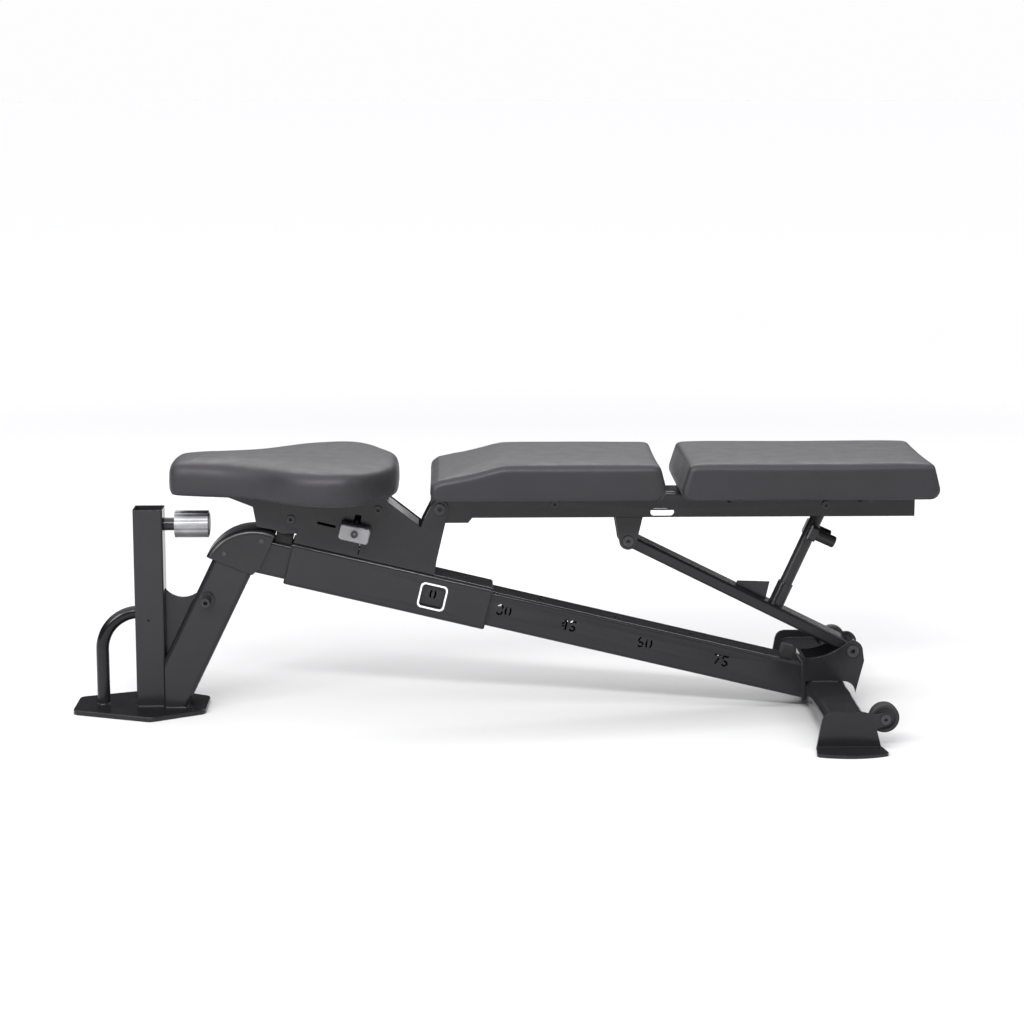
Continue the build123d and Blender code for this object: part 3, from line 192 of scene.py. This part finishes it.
def add_bump(tree, height, strength, distance, normal=None):
    """A bump node; returns its normal output."""
    node = tree.nodes.new("ShaderNodeBump")
    node.inputs["Strength"].default_value = strength
    node.inputs["Distance"].default_value = distance
    tree.links.new(height, node.inputs["Height"])
    if normal is not None:
        tree.links.new(normal, node.inputs["Normal"])
    return node.outputs["Normal"]


def add_bevel(tree, radius):
    """Rounded-edge normals for hard-edged parts."""
    node = tree.nodes.new("ShaderNodeBevel")
    node.samples = BEVEL_SAMPLES
    node.inputs["Radius"].default_value = radius
    return node.outputs["Normal"]


def edge_wear_and_highlight(tree, body_colour, edge_colour):
    """Mix a lighter colour in along convex edges: partly edge wear, partly a painted highlight.
    """
    geometry = tree.nodes.new("ShaderNodeNewGeometry")
    ramp = tree.nodes.new("ShaderNodeValToRGB")
    plain_edge, worn_and_highlit = ramp.color_ramp.elements
    plain_edge.position = WEAR_AND_HIGHLIGHT_START
    worn_and_highlit.position = WEAR_AND_HIGHLIGHT_FULL
    worn_and_highlit.color = (WEAR_AND_HIGHLIGHT_AMOUNT, WEAR_AND_HIGHLIGHT_AMOUNT, WEAR_AND_HIGHLIGHT_AMOUNT, 1.0)
    tree.links.new(geometry.outputs["Pointiness"], ramp.inputs["Fac"])
    mix = tree.nodes.new("ShaderNodeMix")
    mix.data_type = "RGBA"
    colours = {socket.name: socket for socket in mix.inputs if socket.type == "RGBA"}
    tree.links.new(body_colour, colours["A"])
    colours["B"].default_value = (*edge_colour, 1.0)
    tree.links.new(ramp.outputs["Color"], mix.inputs["Factor"])
    return next(socket for socket in mix.outputs if socket.type == "RGBA")


def painted(
    name, dark, light, rough, grain, bevel=0.0012, coat=0.0, edge=None, gloss=0.30
):
    """Powder coat or moulded plastic: mottled colour, uneven gloss, fine orange peel.

    The grain is (scale, strength, depth in metres).
    """
    material, tree, shader, coords = start_material(name)
    broad = add_noise(tree, coords, scale=9.0, detail=4.0)
    colour = add_ramp(tree, broad, [(0.32, dark), (0.68, light)])
    # lighter convex edges: edge wear plus a painted highlight
    if edge is not None:
        colour = edge_wear_and_highlight(tree, colour, edge)
    tree.links.new(colour, shader.inputs["Base Color"])
    smear = add_noise(tree, coords, scale=24.0, detail=5.0, roughness=0.65)
    tree.links.new(add_range(tree, smear, *rough), shader.inputs["Roughness"])
    scale, strength, depth = grain
    peel = add_noise(tree, coords, scale, detail=2.0)
    normal = add_bump(tree, peel, strength, depth, add_bevel(tree, bevel))
    tree.links.new(normal, shader.inputs["Normal"])
    shader.inputs["Specular IOR Level"].default_value = gloss
    if coat:
        shader.inputs["Coat Weight"].default_value = coat
        shader.inputs["Coat Roughness"].default_value = COAT_ROUGHNESS
    return material


def metal(name, dark, light, rough, brush_axis, bevel=0.0009):
    """Brushed or plated metal, its brushing drawn out along one axis."""
    material, tree, shader, coords = start_material(name)
    scale = [BRUSH_SCALE] * 3
    scale[brush_axis] = BRUSH_LENGTHWISE
    lines = add_noise(tree, add_stretch(tree, coords, scale), scale=1.0)
    cloud = add_noise(tree, coords, scale=40.0, detail=4.0)
    colour = add_ramp(tree, cloud, [(NOISE_LOW, dark), (NOISE_HIGH, light)])
    tree.links.new(colour, shader.inputs["Base Color"])
    tree.links.new(add_range(tree, lines, *rough), shader.inputs["Roughness"])
    rounded = add_bevel(tree, bevel)
    normal = add_bump(tree, lines, strength=0.12, distance=0.0002, normal=rounded)
    tree.links.new(normal, shader.inputs["Normal"])
    shader.inputs["Metallic"].default_value = 1.0
    return material


def vinyl(name, dark, light, rough):
    """Fine-grained upholstery vinyl: pebbled grain, soft creases and a satin sheen."""
    material, tree, shader, coords = start_material(name)
    tone = add_noise(tree, coords, scale=5.0, detail=4.0)
    colour = add_ramp(tree, tone, [(NOISE_LOW, dark), (NOISE_HIGH, light)])
    tree.links.new(colour, shader.inputs["Base Color"])
    cells = tree.nodes.new("ShaderNodeTexVoronoi")
    cells.feature = "DISTANCE_TO_EDGE"
    cells.inputs["Scale"].default_value = 820.0
    tree.links.new(coords, cells.inputs["Vector"])
    fine = add_noise(tree, coords, scale=1500.0, detail=2.0)
    soft = add_noise(tree, coords, scale=30.0)
    normal = None
    for height, strength, distance in (
        (soft, 0.10, 0.0015), (cells.outputs["Distance"], 0.22, 0.0004), (fine, 0.10, 0.0002)
    ):
        normal = add_bump(tree, height, strength, distance, normal)
    tree.links.new(normal, shader.inputs["Normal"])
    tree.links.new(add_range(tree, soft, *rough), shader.inputs["Roughness"])
    shader.inputs["Specular IOR Level"].default_value = 0.36
    shader.inputs["Specular Tint"].default_value = (1.0, 0.955, 1.0, 1.0)
    shader.inputs["Sheen Weight"].default_value = 0.04
    shader.inputs["Sheen Roughness"].default_value = 0.4
    return material


def plywood(name, dark, light):
    """Dark-stained board with long grain along X."""
    material, tree, shader, coords = start_material(name)
    stretched = add_stretch(tree, coords, GRAIN_STRETCH)
    grain = add_noise(tree, stretched, scale=1.0, detail=5.0, roughness=0.7)
    colour = add_ramp(tree, grain, [(NOISE_LOW, dark), (NOISE_HIGH, light)])
    tree.links.new(colour, shader.inputs["Base Color"])
    normal = add_bump(tree, grain, strength=0.25, distance=0.0006)
    tree.links.new(normal, shader.inputs["Normal"])
    shader.inputs["Roughness"].default_value = 0.75
    return material


# the edge colours of powder_coat and bolt_black are edge wear plus a painted highlight
MATERIALS = {
    "powder_coat": painted(
        "powder_coat", (0.0044, 0.0044, 0.0052), (0.0060, 0.0060, 0.0070),
        (0.16, 0.22), (1100.0, 0.05, 0.0003), edge=(0.030, 0.030, 0.033),
    ),
    "post_paint": painted(
        "post_paint", (0.013, 0.013, 0.0145), (0.019, 0.019, 0.021),
        (0.30, 0.42), (1100.0, 0.10, 0.0003),
    ),
    "black_plastic": painted(
        "black_plastic", (0.006, 0.006, 0.0068), (0.009, 0.009, 0.010),
        (0.26, 0.36), (600.0, 0.05, 0.0003), bevel=0.0025, coat=0.05, gloss=0.4,
    ),
    "rubber": painted(
        "rubber", (0.010, 0.010, 0.010), (0.018, 0.018, 0.018),
        (0.7, 0.85), (900.0, 0.3, 0.0005),
    ),
    "tyre": painted(
        "tyre", (0.013, 0.013, 0.013), (0.022, 0.022, 0.022),
        (0.5, 0.65), (800.0, 0.25, 0.0005),
    ),
    "bolt_black": painted(
        "bolt_black", (0.006, 0.006, 0.007), (0.011, 0.011, 0.012),
        (0.28, 0.40), (900.0, 0.08, 0.0002), bevel=0.0008, edge=(0.08, 0.08, 0.085),
    ),
    "silver": metal(
        "silver", (0.27, 0.27, 0.28), (0.36, 0.36, 0.37), (0.42, 0.54), brush_axis=0
    ),
    "steel": metal(
        "steel", (0.34, 0.34, 0.35), (0.50, 0.50, 0.51), (0.22, 0.34), brush_axis=1
    ),
    "bright_plate": metal(
        "bright_plate", (0.42, 0.42, 0.43), (0.58, 0.58, 0.59), (0.38, 0.50), brush_axis=1
    ),
    "white_mark": painted(
        "white_mark", (0.74, 0.74, 0.74), (0.82, 0.82, 0.82),
        (0.45, 0.55), (900.0, 0.05, 0.0002),
    ),
    "vinyl": vinyl(
        "vinyl", (0.0135, 0.0135, 0.0152), (0.0178, 0.0176, 0.0198), (0.43, 0.53)
    ),
    "plywood": plywood("plywood", (0.012, 0.010, 0.009), (0.034, 0.028, 0.023)),
}
slot_of = {entry["node"]: entry["material_slot"] for entry in frame["record"]["subparts"]}
for node_name, node_object in NODES.items():
    for material_slot in node_object.material_slots:
        material_slot.material = MATERIALS[slot_of[node_name]]


# ------------------------------------------------------------------- mesh building
def shade_smooth(mesh):
    """Mark every face of a mesh as smooth."""
    for polygon in mesh.polygons:
        polygon.use_smooth = True


def add_piece(name, mesh, slot, body):
    """Link a mesh as a smooth piece with the material named by a slot, on its body."""
    obj = bpy.data.objects.new(name, mesh)
    bpy.context.collection.objects.link(obj)
    mesh.materials.clear()
    mesh.materials.append(MATERIALS[slot])
    shade_smooth(mesh)
    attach(obj, body)
    return obj


def turn(count):
    """The angles of so many equal steps round a circle."""
    return [k * 2 * math.pi / count for k in range(count)]


def skin(bm, rings, closed=False):
    """Join rings of vertices in order; close the ends, or join the last to the first."""
    count = len(rings[0])
    for one, two in zip(rings, rings[1:] + ([rings[0]] if closed else [])):
        for k in range(count):
            m = (k + 1) % count
            bm.faces.new((one[k], one[m], two[m], two[k]))
    if not closed:
        bm.faces.new(list(reversed(rings[0])))
        bm.faces.new(rings[-1])


def to_mesh(bm, name):
    """Turn a closed bmesh into a mesh whose normals point out."""
    bmesh.ops.recalc_face_normals(bm, faces=bm.faces)
    mesh = bpy.data.meshes.new(name)
    bm.to_mesh(mesh)
    bm.free()
    return mesh


# ------------------------------------------------------------------------ cushions
COVER_VOXEL = 0.005       # the remesh step of a cover, in metres
COVER_PRESSURE = 4.0
SEAT_SWELL = 0.004        # how far a point of the seat cover may move
BACK_SWELL = 0.003
BACK_INSET = 0.0015       # how much narrower each side of a back cover starts
BACK_ROUND = 0.015
ROUND_STEPS = 6
BASE_MARGIN = 0.002       # edges lower than this over the base stay sharp
PLAN_STEPS = 6            # points of the seat's outline from one given point to the next
HELD_HEIGHT = 0.004       # the cover is held up to this height over its base
CLOTH_STIFFNESS = 60.0
CLOTH_BENDING = 30.0
CLOTH_FRAMES = 20
EVEN_PASSES = 40
SEAT_SHAPE = (            # (length share, width share) from the seat's middle
    (-1.0, 0.0), (-0.985, 0.24), (-0.935, 0.345), (-0.70, 0.415), (-0.44, 0.48),
    (-0.18, 0.63), (0.10, 0.865), (0.33, 0.975), (0.49, 1.0), (0.65, 0.955),
    (0.78, 0.81), (0.90, 0.575), (0.975, 0.38), (1.0, 0.20), (1.0, 0.0),
)
SEAT_LEVELS = (           # (height share, inset in metres)
    (0.0, 0.006), (0.02, 0.002), (0.07, -0.0005), (0.30, -0.0012), (0.60, -0.0010),
    (0.74, 0.0006), (0.82, 0.0030), (0.88, 0.0072), (0.92, 0.0135), (0.94, 0.0240),
    (0.955, 0.042), (0.965, 0.066),
)
LOWER_SHAPE = (           # side profile in millimetres from the pad's own corner
    (6, 0), (1, 9), (2, 26), (14, 35), (60, 44), (108, 56), (124, 59), (377, 59),
    (383, 55), (391, 22), (390, 9), (386, 0),
)
HEAD_SHAPE = (
    (7, 0), (1, 8), (1, 18), (12, 55), (17, 59), (416, 59), (421, 55), (430, 17),
    (429, 8), (423, 0),
)


def catmull(points, steps):
    """A closed smooth line of points through a closed list of points."""
    out = []
    count = len(points)
    for i in range(count):
        p0, p1, p2, p3 = (Vector(points[(i + k) % count]) for k in (-1, 0, 1, 2))
        for s in range(steps):
            t = s / steps
            square = (2 * p0 - 5 * p1 + 4 * p2 - p3) * t * t
            cube = (3 * p1 - p0 - 3 * p2 + p3) * t ** 3
            out.append(0.5 * ((2 * p1) + (p2 - p0) * t + square + cube))
    return out


def stacked_rings(plan, levels):
    """A closed mesh from one plan line, repeated at (height, inset) levels."""
    centre = sum(plan, Vector((0, 0))) / len(plan)
    count = len(plan)
    normals = []
    for i, point in enumerate(plan):
        tangent = (plan[(i + 1) % count] - plan[i - 1]).normalized()
        normal = Vector((tangent.y, -tangent.x))
        normals.append(-normal if normal.dot(point - centre) < 0 else normal)
    bm = bmesh.new()
    rings = [
        [bm.verts.new((*(point - normal * inset), height))
         for point, normal in zip(plan, normals)]
        for height, inset in levels
    ]
    skin(bm, rings)
    return to_mesh(bm, "rings")


def prism(profile, half_width, round_top):
    """A pad from its side profile, extruded both ways along Y, its top edges rounded."""
    bm = bmesh.new()
    near, far = (
        [bm.verts.new((x, y, z)) for x, z in profile] for y in (-half_width, half_width)
    )
    skin(bm, [near, far])
    bmesh.ops.recalc_face_normals(bm, faces=bm.faces)
    above_base = min(z for x, z in profile) + BASE_MARGIN
    ends = {edge: [v.co for v in edge.verts] for edge in bm.edges}
    top_edges = [
        edge for edge, (a, b) in ends.items()
        if abs(a.y - b.y) < 1e-6 and max(a.z, b.z) >= above_base
    ]
    bmesh.ops.bevel(
        bm, geom=top_edges, offset=round_top, segments=ROUND_STEPS, profile=0.5,
        affect="EDGES", clamp_overlap=True,
    )
    return to_mesh(bm, "prism")


def activate(obj):
    """Make one object the only selected and active one."""
    for other in bpy.context.selected_objects:
        other.select_set(False)
    obj.select_set(True)
    bpy.context.view_layer.objects.active = obj


def capped(step, cap):
    """A step that grows ever more slowly towards the cap."""
    if step.length <= 1e-9:
        return step
    return step.normalized() * cap * math.tanh(step.length / cap)


def blow_up(obj, cap, floor_z):
    """Swell a cover as cloth under pressure with its base held, then even it out."""
    rest = [v.co.copy() for v in obj.data.vertices]
    base = obj.vertex_groups.new(name="base")
    held = [i for i, co in enumerate(rest) if co.z < floor_z + HELD_HEIGHT]
    base.add(held, 1.0, "REPLACE")
    cloth = obj.modifiers.new("cloth", "CLOTH")
    cloth.settings.use_pressure = True
    cloth.settings.uniform_pressure_force = COVER_PRESSURE
    cloth.settings.vertex_group_mass = "base"
    cloth.settings.effector_weights.gravity = 0.0
    cloth.settings.tension_stiffness = CLOTH_STIFFNESS
    cloth.settings.compression_stiffness = CLOTH_STIFFNESS
    cloth.settings.bending_stiffness = CLOTH_BENDING
    cloth.point_cache.frame_start = 1
    cloth.point_cache.frame_end = CLOTH_FRAMES
    for number in range(1, CLOTH_FRAMES + 1):
        bpy.context.scene.frame_set(number)
    evaluated = obj.evaluated_get(bpy.context.evaluated_depsgraph_get())
    moved = [v.co.copy() for v in evaluated.data.vertices]
    obj.modifiers.remove(cloth)
    bpy.context.scene.frame_set(1)
    steps = [capped(new - old, cap) for old, new in zip(rest, moved)]
    # even the swelling out over the neighbours, so that the cover stays taut
    joined = [[] for _ in rest]
    for edge in obj.data.edges:
        a, b = edge.vertices
        joined[a].append(b)
        joined[b].append(a)
    for _ in range(EVEN_PASSES):
        steps = [
            (steps[i] + sum((steps[j] for j in near), Vector())) / (len(near) + 1)
            for i, near in enumerate(joined)
        ]
    for vertex, old, step in zip(obj.data.vertices, rest, steps):
        vertex.co = old + step


def inflate(obj, cap, floor_z):
    """Remesh a closed shell, swell it, and smooth it."""
    activate(obj)
    remesh = obj.modifiers.new("remesh", "REMESH")
    remesh.mode = "VOXEL"
    remesh.voxel_size = COVER_VOXEL
    bpy.ops.object.modifier_apply(modifier=remesh.name)
    blow_up(obj, cap, floor_z)
    smooth = obj.modifiers.new("smooth", "SMOOTH")
    smooth.factor = 0.5
    smooth.iterations = 2
    bpy.ops.object.modifier_apply(modifier=smooth.name)
    fine = obj.modifiers.new("fine", "SUBSURF")
    fine.levels = fine.render_levels = 1
    bpy.ops.object.modifier_apply(modifier=fine.name)
    shade_smooth(obj.data)


# seat: a pear-shaped plan, narrow at the front
seat_low, seat_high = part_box("seat_pad")
seat_mid_x = (seat_low[0] + seat_high[0]) / 2
seat_half = (seat_high[0] - seat_low[0]) / 2
seat_height = seat_high[2] - seat_low[2]
half_plan = [(seat_mid_x + x * seat_half, y * seat_high[1]) for x, y in SEAT_SHAPE]
other_half = [(x, -y) for x, y in reversed(half_plan[1:-1])]
seat_plan = catmull(half_plan + other_half, PLAN_STEPS)
seat_levels = [
    (seat_low[2] + share * seat_height, inset) for share, inset in SEAT_LEVELS
]
seat_mesh = stacked_rings(seat_plan, seat_levels)
seat = add_piece("seat_cushion", seat_mesh, "vinyl", "carriage")
inflate(seat, SEAT_SWELL, seat_low[2])
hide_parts("seat_pad")


def back_cushion(name, node, body, profile):
    """One back pad from a profile given in millimetres from the node's own corner."""
    low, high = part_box(node)
    points = [(low[0] + x / 1000, low[2] + z / 1000) for x, z in profile]
    mesh = prism(points, high[1] - BACK_INSET, BACK_ROUND)
    pad = add_piece(name, mesh, "vinyl", body)
    inflate(pad, BACK_SWELL, low[2])
    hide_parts(node)


back_cushion("lower_back_cushion", "lower_back_pad", "backrest", LOWER_SHAPE)
back_cushion("head_cushion", "head_pad", "backrest", HEAD_SHAPE)


# ---------------------------------------------------------------------- weld beads
BEAM_ANGLE = math.radians(13.5)
BEAM_START_Z = 0.1724      # height of the beam's centre line at X = 0
BEAM_HALF_HEIGHT = 0.030
TUBE_HALF_WIDTH = 0.035    # of the beam and the front leg
LEG_ANGLE = math.radians(26)
LEG_FOOT_X = -0.5769       # where the leg's centre line meets the floor
HANDLE_RADIUS = 0.011
HANDLE_STEPS = 24
SEAM_START, SEAM_END = 0.012, 0.014    # from the cross tube's edges
THICK_BEAD, BEAD, THIN_BEAD = 0.0024, 0.0022, 0.002
BEAD_STEP = 0.0011
BEAD_SIDES = 8
RIPPLE, RIPPLE_TURN = 0.13, 1.9    # share of the radius, and angle from step to step
LUMPS, LUMP_SCALE = 0.12, 260


def weld(name, path, radius, body, closed=False):
    """A rippled weld bead along a path of points."""
    points = [Vector(p) for p in path]
    if closed:
        points.append(points[0].copy())
    fine = []
    for a, b in zip(points, points[1:]):
        steps = max(2, int((b - a).length / BEAD_STEP))
        fine += [a.lerp(b, s / steps) for s in range(steps)]
    if not closed:
        fine.append(points[-1])
    bm = bmesh.new()
    rings = []
    count = len(fine)
    for i, p in enumerate(fine):
        ahead = fine[(i + 1) % count] if closed or i + 1 < count else p
        behind = fine[i - 1] if closed or i > 0 else p
        along = (ahead - behind).normalized()
        if i == 0:
            side = along.orthogonal().normalized()
        else:
            side = (side - side.dot(along) * along).normalized()
        other = along.cross(side)
        ripple = RIPPLE * math.sin(i * RIPPLE_TURN)
        swell = 1 + ripple + LUMPS * noise.noise(p * LUMP_SCALE)
        rings.append([
            bm.verts.new(p + (side * math.cos(a) + other * math.sin(a)) * radius * swell)
            for a in turn(BEAD_SIDES)
        ])
    skin(bm, rings, closed)
    return add_piece(name, to_mesh(bm, name), "powder_coat", body)


def rectangle(x0, x1, y0, y1, z):
    """A level rectangular loop with small corner cuts."""
    cut = 0.004
    return [
        (x0 + cut, y0, z), (x1 - cut, y0, z), (x1, y0 + cut, z), (x1, y1 - cut, z),
        (x1 - cut, y1, z), (x0 + cut, y1, z), (x0, y1 - cut, z), (x0, y0 + cut, z),
    ]


def arch(x0, x1, z0, z1, y):
    """Up one side of a tube, over its top and down the other, the corners cut."""
    far, near = 0.012, 0.004
    return [
        (x0, y, z0 + far), (x0, y, z1 - far), (x0 + near, y, z1 - near),
        (x0 + far, y, z1), (x1 - far, y, z1), (x1 - near, y, z1 - near),
        (x1, y, z1 - far), (x1, y, z0 + far),
    ]


plate_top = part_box("base_plate")[1][2]
post_low, post_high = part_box("receiver_post")
post_foot = rectangle(post_low[0], post_high[0], post_low[1], post_high[1], plate_top)
weld("weld_post_base", post_foot, THICK_BEAD, "frame", closed=True)

leg_low, leg_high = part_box("front_leg")
leg_right = (
    LEG_FOOT_X + TUBE_HALF_WIDTH / math.cos(LEG_ANGLE) + plate_top * math.tan(LEG_ANGLE)
)
leg_foot = [
    (post_high[0], leg_low[1], plate_top), (leg_right, leg_low[1], plate_top),
    (leg_right, leg_high[1], plate_top), (post_high[0], leg_high[1], plate_top),
]
weld("weld_leg_base", leg_foot, THICK_BEAD, "frame")

handle_low, handle_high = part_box("lift_handle")
handle_x = handle_low[0] + HANDLE_RADIUS
handle_end = handle_high[2] - HANDLE_RADIUS
circle = [(HANDLE_RADIUS * math.cos(a), HANDLE_RADIUS * math.sin(a)) for a in turn(HANDLE_STEPS)]
weld(
    "weld_handle_base", [(handle_x + c, s, plate_top) for c, s in circle],
    THIN_BEAD, "frame", closed=True,
)
weld(
    "weld_handle_post", [(post_low[0], c, handle_end + s) for c, s in circle],
    THIN_BEAD, "frame", closed=True,
)

bracket_low, bracket_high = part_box("rear_bracket")
end_mid = BEAM_START_Z - bracket_low[0] * math.tan(BEAM_ANGLE)
half_cut = BEAM_HALF_HEIGHT / math.cos(BEAM_ANGLE)
end_top, end_base = end_mid + half_cut, end_mid - half_cut
corner = 0.002
beam_end = [
    (bracket_low[0], y, z) for y, z in (
        (-TUBE_HALF_WIDTH, end_base + corner), (-TUBE_HALF_WIDTH, end_top - corner),
        (corner - TUBE_HALF_WIDTH, end_top), (TUBE_HALF_WIDTH - corner, end_top),
        (TUBE_HALF_WIDTH, end_top - corner), (TUBE_HALF_WIDTH, end_base + corner),
    )
]
weld("weld_beam_end", beam_end, BEAD, "frame")

cross_low, cross_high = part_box("cross_tube")
for side, hand in ((-1, "right"), (1, "left")):
    cheek = side * bracket_high[1]
    seam = [
        (cross_low[0] + SEAM_START, cheek, cross_high[2]),
        (cross_high[0] - SEAM_END, cheek, cross_high[2]),
    ]
    weld("weld_cheek_" + hand, seam, BEAD, "frame")
    end_y = side * cross_high[1]
    foot = arch(cross_low[0], cross_high[0], cross_low[2], cross_high[2], end_y)
    weld("weld_foot_" + hand, foot, BEAD, "frame")


# ------------------------------------------------------------------ finishing pieces
CAP_RINGS = (    # (distance along the axis, radius) in metres
    (-0.001, 0.0200), (0.0006, 0.0198), (0.0016, 0.0180), (0.0024, 0.0120),
    (0.0027, 0.0050), (0.0027, 0.0006),
)


def lathe(name, centre, axis, rings, slot, body, segments=48):
    """A turned piece: rings of (distance along the axis, radius) about an axis."""
    axis = Vector(axis).normalized()
    side = axis.orthogonal().normalized()
    other = axis.cross(side)
    bm = bmesh.new()
    loops = []
    for along, radius in rings:
        middle = Vector(centre) + axis * along
        loops.append([
            bm.verts.new(middle + (side * math.cos(a) + other * math.sin(a)) * radius)
            for a in turn(segments)
        ])
    skin(bm, loops)
    return add_piece(name, to_mesh(bm, name), slot, body)


knob_low, knob_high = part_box("receiver_knob")
knob_face = (knob_high[0], 0, (knob_low[2] + knob_high[2]) / 2)
lathe("knob_cap", knob_face, (1, 0, 0), CAP_RINGS, "silver", "receiver_pin_body")


# --------------------------------------------------------------------------- stage
FLOOR_CORNERS = ((-40, -30, 0), (40, -30, 0), (40, 60, 0), (-40, 60, 0))
FLOOR_REACH = 10.0     # metres from the origin to the end of the ramp
FLOOR_TONES = ((0.8, 0.555), (2.2, 0.625), (4.5, 0.765), (9.0, 0.80))


def studio_floor():
    """A large pale floor, darker close to the lamps so that it looks even."""
    mesh = bpy.data.meshes.new("studio_floor")
    mesh.from_pydata(FLOOR_CORNERS, [], [(0, 1, 2, 3)])
    obj = bpy.data.objects.new("studio_floor", mesh)
    bpy.context.collection.objects.link(obj)
    material, tree, shader, coords = start_material("floor_paint")
    reach = tree.nodes.new("ShaderNodeVectorMath")
    reach.operation = "LENGTH"
    tree.links.new(coords, reach.inputs[0])
    share = tree.nodes.new("ShaderNodeMath")
    share.operation = "DIVIDE"
    share.inputs[1].default_value = FLOOR_REACH
    tree.links.new(reach.outputs["Value"], share.inputs[0])
    stops = [
        (distance / FLOOR_REACH, (tone, tone, tone * 1.004))
        for distance, tone in FLOOR_TONES
    ]
    colour = add_ramp(tree, share.outputs["Value"], stops)
    tree.links.new(colour, shader.inputs["Base Color"])
    shader.inputs["Roughness"].default_value = 0.7
    shader.inputs["Specular IOR Level"].default_value = 0.1
    mesh.materials.append(material)


studio_floor()
